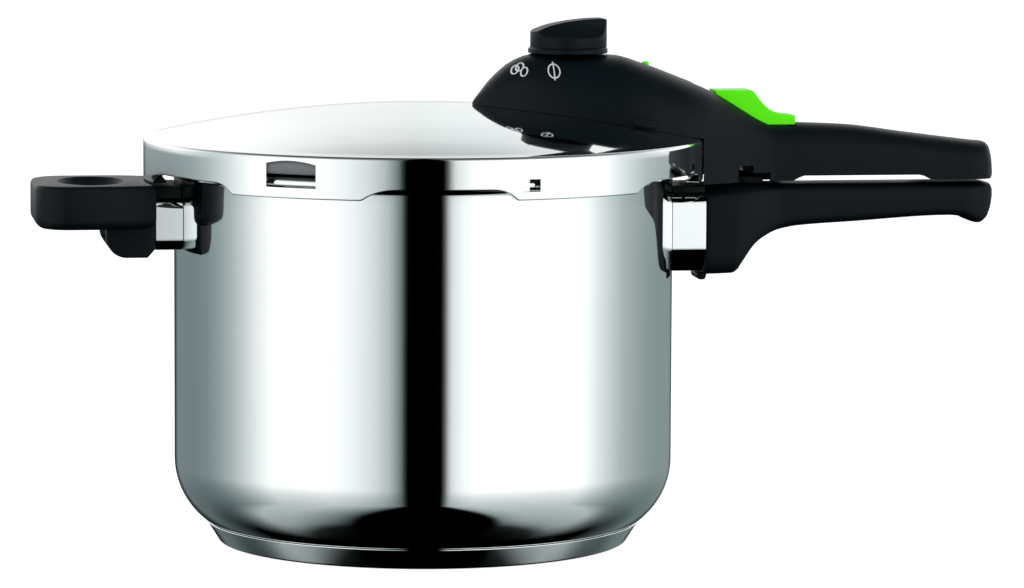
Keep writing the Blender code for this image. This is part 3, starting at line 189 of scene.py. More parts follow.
def pick(piece: Piece, rule: Rule) -> int:
    """Selects, in edit mode, what the rule accepts by its middle.

    Args:
        piece: The piece that is open in edit mode.
        rule: Says whether an element with this middle is wanted.

    Returns:
        How many elements are selected.
    """
    mesh = bmesh.from_edit_mesh(piece.data)
    mode = bpy.context.tool_settings.mesh_select_mode
    if mode[2]:
        chosen = [f for f in mesh.faces if rule(f.calc_center_median())]
    elif mode[1]:
        chosen = [e for e in mesh.edges if rule((e.verts[0].co + e.verts[1].co) / 2.0)]
    else:
        chosen = [v for v in mesh.verts if rule(v.co)]
    for element in chosen:
        element.select_set(True)
    mesh.select_flush_mode()
    bmesh.update_edit_mesh(piece.data)
    return len(chosen)


def named(name: str) -> Piece:
    """Names the primitive that was just added, and puts its place into its mesh."""
    piece = bpy.context.object
    piece.name = name
    piece.data.name = name
    focus(piece)
    bpy.ops.object.transform_apply(location=True, rotation=True, scale=True)
    return piece


def tidy_mesh(piece: Piece) -> None:
    """Merges doubles and turns all faces outwards."""
    with editing(piece):
        bpy.ops.mesh.select_all(action="SELECT")
        bpy.ops.mesh.remove_doubles(threshold=WELD)
        bpy.ops.mesh.normals_make_consistent(inside=False)


def traced(name: str, points: Sequence[Spot], closed: bool = False) -> Piece:
    """Draws a line of edges: a small plane is merged to its middle and drawn out point by point.

    Args:
        name: The piece's name.
        points: The places that the line passes.
        closed: Whether the last point joins the first.

    Returns:
        The line of edges.
    """
    bpy.ops.mesh.primitive_plane_add(size=MM, location=points[0])
    piece = named(name)
    with editing(piece):
        bpy.ops.mesh.select_all(action="SELECT")
        bpy.ops.mesh.merge(type="CENTER")
        for before, after in zip(points, points[1:]):
            step = tuple(Vector(after) - Vector(before))
            bpy.ops.mesh.extrude_region_move(TRANSFORM_OT_translate={"value": step})
        if closed:
            ends = (Vector(points[0]), Vector(points[-1]))
            pick(piece, lambda co: min((co - end).length for end in ends) < WELD)
            bpy.ops.mesh.edge_face_add()
    return piece


def turned(
    name: str,
    profile: Sequence[Flat],
    centre: Flat = (0.0, 0.0),
    steps: int = LATHE_STEPS,
    closed: bool = False,
) -> Piece:
    """Turns a profile of (radius, height) points about an upright axis.

    Args:
        name: The piece's name.
        profile: The points, from one end of the wall to the other.
        centre: Where the axis stands.
        steps: How many facets go round.
        closed: Whether the profile closes on itself, as a ring's does.

    Returns:
        The turned piece with its faces outwards.
    """
    piece = traced(name, [(radius, 0.0, height) for radius, height in profile], closed)
    with editing(piece):
        bpy.ops.mesh.select_all(action="SELECT")
        bpy.ops.mesh.spin(steps=steps, angle=TURN, center=(0.0, 0.0, 0.0), axis=(0.0, 0.0, 1.0))
        bpy.ops.mesh.select_all(action="SELECT")
        bpy.ops.mesh.remove_doubles(threshold=WELD)
        bpy.ops.mesh.normals_make_consistent(inside=False)
        bpy.ops.transform.translate(value=(centre[0], centre[1], 0.0))
    return piece


@dataclass(frozen=True)
class Station:
    """One place along a handle: where it is, its half width and its lower and upper edges."""

    x: float
    half: float
    low: float
    high: float


def swept(
    name: str, outline: Sequence[Flat], stations: Sequence[Station], closed: bool, capped: bool
) -> Piece:
    """Draws a section out along X, resized at each station.

    Args:
        name: The piece's name.
        outline: Unit section points, across from -1 to 1 and up from 0 to 1.
        stations: Where the section stands and how large it is there.
        closed: Whether the section closes on itself.
        capped: Whether both ends are filled.

    Returns:
        The swept piece.
    """
    first = stations[0]
    spots = [
        (first.x, across * first.half, first.low + up * (first.high - first.low))
        for across, up in outline
    ]
    piece = traced(name, spots, closed)
    with editing(piece):
        bpy.ops.mesh.select_all(action="SELECT")
        for before, after in zip(stations, stations[1:]):
            step = (after.x - before.x, 0.0, after.low - before.low)
            bpy.ops.mesh.extrude_region_move(TRANSFORM_OT_translate={"value": step})
            growth = (
                1.0, after.half / before.half, (after.high - after.low) / (before.high - before.low)
            )
            bpy.ops.transform.resize(value=growth, center_override=(after.x, 0.0, after.low))
        if capped:
            for end in (stations[0], stations[-1]):
                bpy.ops.mesh.select_all(action="DESELECT")
                pick(piece, lambda co: abs(co.x - end.x) < WELD)
                bpy.ops.mesh.edge_face_add()
    tidy_mesh(piece)
    return piece


def plate(name: str, outline: Sequence[Spot], depth: Spot) -> Piece:
    """Fills a flat outline and draws it out by depth.

    Args:
        name: The piece's name.
        outline: The corners of the starting face, in order.
        depth: How far and which way the face is drawn out.

    Returns:
        The solid plate.
    """
    piece = traced(name, outline, closed=True)
    with editing(piece):
        bpy.ops.mesh.select_all(action="SELECT")
        bpy.ops.mesh.edge_face_add()
        bpy.ops.mesh.extrude_region_move(TRANSFORM_OT_translate={"value": depth})
    tidy_mesh(piece)
    return piece


def side_plate(name: str, outline: Sequence[Flat], half: float) -> Piece:
    """A plate whose outline is drawn in X and Z, half as thick on each side of Y = 0."""
    return plate(name, [(x, -half, z) for x, z in outline], (0.0, 2.0 * half, 0.0))


def block(name: str, low: Spot, high: Spot) -> Piece:
    """A cube brought to two opposite corners.

    Args:
        name: The piece's name.
        low: The lowest corner.
        high: The highest corner.

    Returns:
        The block, to be cut or softened.
    """
    middle = (Vector(low) + Vector(high)) / 2.0
    bpy.ops.mesh.primitive_cube_add(size=1.0, location=middle)
    bpy.context.object.scale = Vector(high) - Vector(low)
    return named(name)


def cylinder_cutter(name: str, radius: float, low: float, high: float) -> Piece:
    """A full cylinder about the pot's axis, 5 mm past both heights, to cut a piece to a wall."""
    foot, head = low - 5.0 * MM, high + 5.0 * MM
    return turned(name, [(0.0, foot), (radius, foot), (radius, head), (0.0, head)])


def applied(piece: Piece, kind: str, **settings: object) -> Piece:
    """Adds a modifier with these settings and applies it.

    Args:
        piece: The piece that it changes.
        kind: The modifier's type.
        **settings: Its settings by name.

    Returns:
        The same piece.
    """
    focus(piece)
    bpy.ops.object.modifier_add(type=kind)
    modifier = piece.modifiers[-1]
    for setting, value in settings.items():
        setattr(modifier, setting, value)
    bpy.ops.object.modifier_apply(modifier=modifier.name)
    return piece


def carve(piece: Piece, *tools: Piece, operation: str = "DIFFERENCE") -> Piece:
    """Cuts tools out of a piece, or joins them to it, and takes them away.

    Args:
        piece: The piece that stays.
        *tools: The cutters or the additions.
        operation: The Boolean's operation.

    Returns:
        The same piece.
    """
    for tool in tools:
        applied(piece, "BOOLEAN", operation=operation, object=tool, solver="EXACT")
        bpy.data.objects.remove(tool, do_unlink=True)
    return piece


def soften(piece: Piece, width: float, segments: int = 3, angle: float = 40.0) -> Piece:
    """Rounds the edges that turn by more than an angle in degrees."""
    return applied(
        piece, "BEVEL", width=width, segments=segments, limit_method="ANGLE",
        angle_limit=math.radians(angle), use_clamp_overlap=True, miter_outer="MITER_ARC",
    )


def thicken(piece: Piece, wall: float, inwards: bool = True) -> Piece:
    """Gives a skin its wall, on the inner side unless told otherwise."""
    side = -1.0 if inwards else 1.0
    return applied(piece, "SOLIDIFY", thickness=wall, offset=side, use_even_offset=True)


def reshape(piece: Piece, move: Callable[[Vector], Vector]) -> Piece:
    """Moves each point by a rule, as proportional editing along a drawn curve would."""
    for vertex in piece.data.vertices:
        vertex.co = move(vertex.co.copy())
    return piece


def smooth(piece: Piece, angle: float = 38.0) -> Piece:
    """Shades a piece smooth except across edges sharper than an angle in degrees."""
    focus(piece)
    bpy.ops.object.shade_smooth_by_angle(angle=math.radians(angle))
    return piece


def dress(
    piece: Piece, material: bpy.types.Material, slot: Slot, body: Body, *stands_for: str
) -> Piece:
    """Gives a finished piece its finish and its body, and hides the nodes that it stands for.

    Args:
        piece: The finished piece.
        material: Its material.
        slot: The record's slot for it; not used.
        body: The body that it rides on.
        *stands_for: The frame's nodes that it replaces.

    Returns:
        The same piece.
    """
    piece.data.materials.clear()
    piece.data.materials.append(material)
    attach(piece, body.value)
    if stands_for:
        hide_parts(*stands_for)
    log.info("%s: %d faces, rides on %s", piece.name, len(piece.data.polygons), body.value)
    return piece


# ---------------------------------------------------------------- finishes


class Links:
    """Short hands for building a node tree."""

    def __init__(self, tree: bpy.types.NodeTree) -> None:
        """Keeps the tree that nodes are added to."""
        self.tree = tree

    def add(self, kind: str, **values: object) -> bpy.types.Node:
        """Adds a node and sets its properties.

        Args:
            kind: The node's type name without the ShaderNode prefix.
            **values: Properties by name.

        Returns:
            The new node.
        """
        node = self.tree.nodes.new(f"ShaderNode{kind}")
        for key, value in values.items():
            setattr(node, key, value)
        return node

    def join(self, start: bpy.types.NodeSocket, end: bpy.types.NodeSocket) -> None:
        """Links two sockets."""
        self.tree.links.new(start, end)

    def math(self, operation: str, *terms: object) -> bpy.types.NodeSocket:
        """Adds a Math node whose inputs are sockets or numbers.

        Args:
            operation: The Math node's operation.
            *terms: Its inputs in order.

        Returns:
            The result's socket.
        """
        node = self.add("Math", operation=operation)
        for socket, term in zip(node.inputs, terms):
            if isinstance(term, bpy.types.NodeSocket):
                self.join(term, socket)
            else:
                socket.default_value = term
        return node.outputs[0]


def new_group(name: str, takes: dict[str, str], gives: dict[str, str]) -> bpy.types.NodeTree:
    """Starts a shader node group with named sockets.

    Args:
        name: The group's name.
        takes: Input names with their socket types.
        gives: Output names with their socket types.

    Returns:
        The group, with its input and output nodes in place.
    """
    group = bpy.data.node_groups.new(name, "ShaderNodeTree")
    for direction, sockets in (("INPUT", takes), ("OUTPUT", gives)):
        for label, kind in sockets.items():
            group.interface.new_socket(
                name=label, in_out=direction, socket_type=f"NodeSocket{kind}")
    group.nodes.new("NodeGroupInput")
    group.nodes.new("NodeGroupOutput")
    return group


def handled_surface() -> bpy.types.NodeTree:
    """Builds, once, the group for uneven sheen, cloudy colour and fine grain.

    Returns:
        The group. It puts out a colour, a roughness and a height.
    """
    name = "handled_surface"
    if name in bpy.data.node_groups:
        return bpy.data.node_groups[name]
    group = new_group(
        name,
        {"Vector": "Vector", "Colour": "Color", "Worn Colour": "Color", "Roughness": "Float",
         "Spread": "Float", "Patch Scale": "Float", "Grain Scale": "Float"},
        {"Colour": "Color", "Roughness": "Float", "Height": "Float"},
    )
    links = Links(group)
    takes, gives = group.nodes["Group Input"], group.nodes["Group Output"]
    patches = links.add("TexNoise")
    patches.inputs["Detail"].default_value = 4.0
    grain = links.add("TexNoise")
    grain.inputs["Detail"].default_value = 2.0
    for texture, scale in ((patches, "Patch Scale"), (grain, "Grain Scale")):
        links.join(takes.outputs["Vector"], texture.inputs["Vector"])
        links.join(takes.outputs[scale], texture.inputs["Scale"])
    mix = links.add("Mix", data_type="RGBA")
    links.join(patches.outputs["Fac"], mix.inputs["Factor"])
    links.join(takes.outputs["Colour"], mix.inputs["A"])
    links.join(takes.outputs["Worn Colour"], mix.inputs["B"])
    centred = links.math("SUBTRACT", patches.outputs["Fac"], 0.5)
    swing = links.math("MULTIPLY", centred, takes.outputs["Spread"])
    links.join(mix.outputs["Result"], gives.inputs["Colour"])
    links.join(links.math("ADD", takes.outputs["Roughness"], swing), gives.inputs["Roughness"])
    links.join(grain.outputs["Fac"], gives.inputs["Height"])
    return group


def polish_lines() -> bpy.types.NodeTree:
    """Builds, once, the group for the faint rings that a lathe's polishing wheel leaves.

    Returns:
        The group. It puts out a height.
    """
    name = "polish_lines"
    if name in bpy.data.node_groups:
        return bpy.data.node_groups[name]
    group = new_group(name, {"Vector": "Vector", "Pitch": "Float"}, {"Height": "Float"})
    links = Links(group)
    takes, gives = group.nodes["Group Input"], group.nodes["Group Output"]
    parts = links.add("SeparateXYZ")
    links.join(takes.outputs["Vector"], parts.inputs["Vector"])
    whole = links.add("CombineXYZ")
    for axis, factor in (("X", LINE_WANDER), ("Y", LINE_WANDER), ("Z", takes.outputs["Pitch"])):
        links.join(links.math("MULTIPLY", parts.outputs[axis], factor), whole.inputs[axis])
    rings = links.add("TexNoise")
    rings.inputs["Scale"].default_value = 1.0
    rings.inputs["Detail"].default_value = 3.0
    links.join(whole.outputs["Vector"], rings.inputs["Vector"])
    links.join(rings.outputs["Fac"], gives.inputs["Height"])
    return group


@dataclass(frozen=True)
class Finish:
    """One finish: its colours, its gloss and the fine relief of its surface."""

    name: str
    colour: Spot
    worn: Spot
    roughness: float
    spread: float
    metallic: float = 0.0
    patch_scale: float = 22.0
    grain_scale: float = 900.0
    grain_depth: float = 0.02 * MM
    line_pitch: float = 0.0
    line_depth: float = 0.0
    specular: float = 0.5

    def material(self) -> bpy.types.Material:
        """Makes the material the first time that it is asked for.

        Returns:
            The material.
        """
        if self.name in bpy.data.materials:
            return bpy.data.materials[self.name]
        made = bpy.data.materials.new(self.name)
        made.use_nodes = True
        links = Links(made.node_tree)
        shader = made.node_tree.nodes["Principled BSDF"]
        shader.inputs["Metallic"].default_value = self.metallic
        shader.inputs["Specular IOR Level"].default_value = self.specular
        place = links.add("TexCoord")
        surface = links.add("Group", node_tree=handled_surface())
        links.join(place.outputs["Object"], surface.inputs["Vector"])
        surface.inputs["Colour"].default_value = (*self.colour, 1.0)
        surface.inputs["Worn Colour"].default_value = (*self.worn, 1.0)
        surface.inputs["Roughness"].default_value = self.roughness
        surface.inputs["Spread"].default_value = self.spread
        surface.inputs["Patch Scale"].default_value = self.patch_scale
        surface.inputs["Grain Scale"].default_value = self.grain_scale
        links.join(surface.outputs["Colour"], shader.inputs["Base Color"])
        links.join(surface.outputs["Roughness"], shader.inputs["Roughness"])
        grain = links.add("Bump")
        grain.inputs["Distance"].default_value = self.grain_depth
        links.join(surface.outputs["Height"], grain.inputs["Height"])
        if self.line_depth:
            lines = links.add("Group", node_tree=polish_lines())
            lines.inputs["Pitch"].default_value = self.line_pitch
            links.join(place.outputs["Object"], lines.inputs["Vector"])
            rings = links.add("Bump")
            rings.inputs["Distance"].default_value = self.line_depth
            links.join(lines.outputs["Height"], rings.inputs["Height"])
            links.join(rings.outputs["Normal"], grain.inputs["Normal"])
        links.join(grain.outputs["Normal"], shader.inputs["Normal"])
        return made


MIRROR_STEEL = Finish(
    "mirror_steel", (0.86, 0.89, 0.89), (0.82, 0.86, 0.86), 0.045, 0.03, metallic=1.0,
    patch_scale=14.0, grain_scale=60.0, grain_depth=0.002 * MM, line_pitch=900.0,
    line_depth=0.0006 * MM,
)
SATIN_STEEL = Finish(
    "satin_steel", (0.66, 0.67, 0.68), (0.58, 0.59, 0.60), 0.30, 0.12, metallic=1.0,
    grain_scale=1500.0, grain_depth=0.01 * MM,
)
BARE_ALUMINIUM = Finish(
    "bare_aluminium", (0.78, 0.79, 0.80), (0.70, 0.71, 0.72), 0.38, 0.12, metallic=1.0,
    grain_scale=700.0,
)
MOULDED_BLACK = Finish(
    "moulded_black", (0.0024, 0.0054, 0.0072), (0.0040, 0.0074, 0.0094), 0.40, 0.10,
    patch_scale=30.0, grain_scale=1600.0, grain_depth=0.05 * MM, specular=0.12,
)
LIME_PLASTIC = Finish(
    "lime_plastic", (0.112, 0.97, 0.0), (0.125, 0.99, 0.001), 0.34, 0.08,
    grain_scale=1300.0, grain_depth=0.02 * MM, specular=0.16,
)
GREY_SILICONE = Finish(
    "grey_silicone", (0.17, 0.21, 0.21), (0.21, 0.25, 0.25), 0.55, 0.12, grain_scale=800.0,
)
TURNED_BRASS = Finish(
    "turned_brass", (0.72, 0.56, 0.28), (0.62, 0.47, 0.22), 0.28, 0.12, metallic=1.0,
    line_pitch=2500.0, line_depth=0.004 * MM,
)
PRINTED_GREY = Finish(
    "printed_grey", (0.70, 0.73, 0.74), (0.60, 0.63, 0.64), 0.5, 0.1, grain_scale=2500.0,
)


# ---------------------------------------------------------------- pot


@dataclass
class PotVessel:
    """The drawn steel pot, with a flange of bayonet lobes and a rolled bead round its rim."""

    lobe_radius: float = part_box("pot_body")[1].x
    rim_z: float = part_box("pot_body")[1].z
    lobe_reach: float = 10.5 * MM
    gap_reach: float = 5.5 * MM
    wall: float = 1.0 * MM
    corner: float = 33.5 * MM
    tuck: float = 17.0 * MM
    seam_angle: float = 55.0
    floor_z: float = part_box("pot_body")[0].z
    bend: float = 2.5 * MM
    bead: float = 2.6 * MM
    lobe_span: float = 26.0
    lobe_offset: float = -4.2

    def __post_init__(self) -> None:
        """Works out the places that follow from the sizes."""
        angle = math.radians(self.seam_angle)
        self.radius = self.lobe_radius - self.lobe_reach
        self.seam_z = self.floor_z + self.tuck * (1.0 - math.sin(angle))
        self.corner_z = self.seam_z + self.corner * math.sin(angle)
        self.seam_radius = self.radius - self.corner * (1.0 - math.cos(angle))
        self.tuck_x = self.seam_radius - self.tuck * math.cos(angle)

    def skin(self, inset: float) -> list[Flat]:
        """Gives the profile from the floor's middle up the wall, inset from the outside."""
        tuck = arc((self.tuck_x, self.floor_z + self.tuck), self.tuck - inset,
                   -90.0, -self.seam_angle, 8)
        corner = arc((self.radius - self.corner, self.corner_z), self.corner - inset,
                     -self.seam_angle, 0.0, 16)
        wall_top = self.rim_z - self.bend - self.wall
        heights = spaced(self.corner_z, wall_top, 9.0 * MM)[1:]
        wall = [(self.radius - inset, height) for height in heights]
        return [(0.0, tuck[0][1]), (tuck[0][0] / 2.0, tuck[0][1]), *tuck, *corner[1:], *wall]

    def rim_pull(self, place: Vector) -> Vector:
        """Draws the flange in between the lobes, with soft flanks."""
        reach = math.hypot(place.x, place.y)
        free = reach - self.radius
        if free < 2.0 * MM or place.z < self.rim_z - 4.0 * MM:
            return place
        angle = math.degrees(math.atan2(place.y, place.x)) - self.lobe_offset
        off = abs((angle + 30.0) % 60.0 - 30.0)
        open_share = flowing([(self.lobe_span / 2.0, 0.0), (self.lobe_span / 2.0 + 3.0, 1.0)], off)
        kept = 1.0 - open_share * (1.0 - self.gap_reach / self.lobe_reach)
        return Vector((*(place.xy * (self.radius + free * kept) / reach), place.z))

    def build(self) -> None:
        """Turns the vessel, draws in its flange between the lobes and dresses it."""
        edge = self.lobe_radius
        low = self.rim_z - self.wall
        under = arc((self.radius + self.bend, low - self.bend), self.bend, 180.0, 90.0, 6)
        flange = [(edge - 5.0 * MM, low), (edge - self.bead, low)]
        bead = arc((edge - self.bead, low + self.bead), self.bead, -90.0, 150.0, 12)
        upper = [(edge - 2.1 * self.bead, self.rim_z), (edge - 7.0 * MM, self.rim_z)]
        inner = arc((self.radius + self.bend, low - self.bend), self.bend + self.wall,
                    90.0, 180.0, 6)
        inside = list(reversed(self.skin(self.wall)))
        profile = [*self.skin(0.0), *under[1:], *flange, *bead, *upper, *inner, *inside[1:]]
        vessel = turned("pot_vessel", profile, steps=288)
        reshape(vessel, self.rim_pull)
        smooth(vessel, 50.0)
        dress(vessel, MIRROR_STEEL.material(), Slot.POLISHED, Body.POT, "pot_body")


@dataclass
class CapsuleBase:
    """The steel cap round the aluminium core, with pressed rings under it."""

    pot: PotVessel
    taper: float = 4.6 * MM
    edge: float = 2.2 * MM
    gap: float = 0.3 * MM
    ring_pitch: float = 11.0 * MM
    ring_depth: float = 0.35 * MM
    rings: int = 6

    def sole(self, foot: float) -> list[Flat]:
        """Gives the underside's profile from the middle out, with its shallow grooves."""
        points = [(0.0, 0.0)]
        for index in range(self.rings):
            middle = foot - 16.0 * MM - self.ring_pitch * (self.rings - 1 - index)
            for off, up in ((-0.9, 0.0), (-0.45, 0.8), (0.0, 1.0), (0.45, 0.8), (0.9, 0.0)):
                points.append((middle + off * MM, up * self.ring_depth))
        return points

    def build(self) -> None:
        """Turns the cap and dresses it."""
        pot = self.pot
        foot = pot.seam_radius - self.taper
        edge = arc((foot - self.edge, self.edge), self.edge, -90.0, -30.0, 8)
        tuck = arc((pot.tuck_x, pot.floor_z + pot.tuck), pot.tuck + self.gap,
                   -pot.seam_angle, -90.0, 8)
        lip_z = tuck[0][1] - 0.1 * MM
        lip = arc((pot.seam_radius - 0.25 * MM, lip_z - 0.25 * MM), 0.25 * MM, -40.0, 60.0, 4)
        core_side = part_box("base_core")[1].x + self.gap
        inside = [(core_side, tuck[-1][1]), (core_side, 1.0 * MM), (0.0, 1.0 * MM)]
        profile = [*self.sole(foot), *edge, *lip, *tuck[1:], *inside]
        cap = turned("base_capsule", profile)
        smooth(cap, 42.0)
        dress(cap, MIRROR_STEEL.material(), Slot.POLISHED, Body.POT, "base_cap")


@dataclass
class FlameGuard:
    """A polished sleeve between the wall and a handle's root."""

    name: str
    node: str
    side: float
    wall_radius: float
    chamfer: float
    drop: float
    sheet: float = 0.9 * MM
    corner: float = 5.0 * MM
    chamfer_bend: float = 3.0 * MM

    def section(self, half: float, height: float) -> list[Flat]:
        """Gives the section in unit measures: rounded above, chamfered below."""
        high, cut, bend = self.corner, self.chamfer, self.chamfer_bend
        start = bend * math.tan(math.radians(22.5))
        points: list[Flat] = []
        points += arc((half - high, height - high), high, 0.0, 90.0, 8)
        points += arc((high - half, height - high), high, 90.0, 180.0, 8)
        points += arc((bend - half, cut + start), bend, 180.0, 225.0, 5)
        points += arc((cut + start - half, bend), bend, 225.0, 270.0, 5)
        points += arc((half - cut - start, bend), bend, 270.0, 315.0, 5)
        points += arc((half - bend, cut + start), bend, 315.0, 360.0, 5)
        return [(across / half, up / height) for across, up in points]

    def build(self) -> None:
        """Draws the sleeve out, fits it to the wall and dresses it."""
        low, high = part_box(self.node)
        low.z -= self.drop
        near = self.side * (self.wall_radius - 6.0 * MM)
        far = high.x if self.side > 0.0 else low.x
        half, height = high.y, high.z - low.z
        stations = [Station(x, half, low.z, high.z) for x in
                    (near, far - self.side * 3.0 * MM, far - self.side * 0.8 * MM, far)]
        sleeve = swept(self.name, self.section(half, height), stations, closed=True, capped=False)
        thicken(sleeve, self.sheet)
        carve(sleeve, cylinder_cutter("wall_cutter", self.wall_radius + 0.2 * MM, low.z, high.z))
        smooth(sleeve, 40.0)
        dress(sleeve, MIRROR_STEEL.material(), Slot.POLISHED, Body.POT, self.node)


@dataclass
class PotHandle:
    """The long lower handle: deep at its root, slim along the grip, with a drooped end."""

    root_half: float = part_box("pot_handle")[1].y
    grip_half: float = 14.0 * MM
    root_x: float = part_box("pot_flame_guard")[1].x + SEAT_GAP
    end_x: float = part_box("pot_handle")[1].x + 0.6 * MM
    top_z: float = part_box("pot_handle")[1].z
    squareness: float = 5.0
    underside: tuple[Flat, ...] = (
        (0.0, 40.4), (0.100, 40.0), (0.112, 39.4), (0.137, 34.7), (0.175, 27.6), (0.210, 23.9),
        (0.261, 20.7), (0.330, 19.0), (0.505, 17.5), (0.846, 15.0), (0.889, 15.6), (0.924, 17.9),
        (0.950, 18.6), (0.975, 16.6), (0.992, 11.6), (1.0, 8.0),
    )

    def section(self) -> list[Flat]:
        """Gives a rounded rectangle as a closed curve of equal powers."""
        points = []
        for step in range(40):
            turn = TURN * (step + 0.5) / 40.0
            power = 2.0 / self.squareness
            across = math.copysign(abs(math.cos(turn)) ** power, math.cos(turn))
            up = math.copysign(abs(math.sin(turn)) ** power, math.sin(turn))
            points.append((across, 0.5 + 0.5 * up))
        return points

    def half(self, share: float) -> float:
        """Gives half the width at a share of the length."""
        widths = [(0.0, self.root_half), (0.105, self.root_half), (0.27, self.grip_half),
                  (0.90, self.grip_half), (0.955, 0.90 * self.grip_half),
                  (0.988, 0.70 * self.grip_half), (1.0, 0.45 * self.grip_half)]
        return flowing(widths, share)

    def build(self) -> None:
        """Draws the handle out station by station, adds its toe and dresses it."""
        length = self.end_x - self.root_x
        shares = [*spaced(0.0, 0.10, 0.02), *spaced(0.106, 0.94, 0.0125),
                  *[1.0 - 0.06 * (1.0 - step / 12.0) ** 1.6 for step in range(1, 13)]]
        stations = []
        for share in shares:
            depth = flowing(self.underside, share) * MM
            top = self.top_z - flowing([(0.96, 0.0), (0.99, 0.7), (1.0, 2.6)], share) * MM
            stations.append(Station(self.root_x + share * length, self.half(share),
                                    self.top_z - depth, top))
        handle = swept("pot_handle_grip", self.section(), stations, closed=True, capped=True)
        soften(handle, 1.0 * MM, 3, 60.0)
        smooth(handle, 35.0)
        dress(handle, MOULDED_BLACK.material(), Slot.BLACK, Body.POT, "pot_handle")
        self.build_toe()

    def build_toe(self) -> None:
        """Makes the small hook under the root that grips the sleeve's lower edge."""
        root = self.top_z - 39.4 * MM
        low = root - 3.4 * MM
        x = self.root_x
        outline = [
            (x - 1.8 * MM, root - 0.6 * MM), (x - 1.6 * MM, low + 0.8 * MM),
            (x - 0.9 * MM, low), (x + 1.4 * MM, low), (x + 2.1 * MM, low + 0.8 * MM),
            (x + 2.6 * MM, root),
        ]
        toe = side_plate("pot_handle_toe", outline, self.root_half - 9.0 * MM)
        soften(toe, 0.5 * MM, 3, 30.0)
        smooth(toe)
        dress(toe, MOULDED_BLACK.material(), Slot.BLACK, Body.POT)


@dataclass
class RootTongue:
    """The plastic tongue that runs from a handle's root over its sleeve to the wall."""

    name: str
    sleeve: str
    side: float
    wall_radius: float
    thickness: float
    half: float

    def build(self) -> None:
        """Cuts the tongue to the wall, softens and dresses it."""
        sleeve_low, sleeve_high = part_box(self.sleeve)
        far = sleeve_high.x if self.side > 0.0 else sleeve_low.x
        low = sleeve_high.z + SEAT_GAP
        high = low + self.thickness
        reach = self.wall_radius + SEAT_GAP
        ends = sorted((self.side * (reach - 6.0 * MM), far + self.side * (SEAT_GAP + 0.2 * MM)))
        tongue = block(self.name, (ends[0], -self.half, low), (ends[1], self.half, high))
        carve(tongue, cylinder_cutter("wall_cutter", reach, low, high))
        soften(tongue, 0.5 * MM, 3, 40.0)
        smooth(tongue)
        dress(tongue, MOULDED_BLACK.material(), Slot.BLACK, Body.POT)


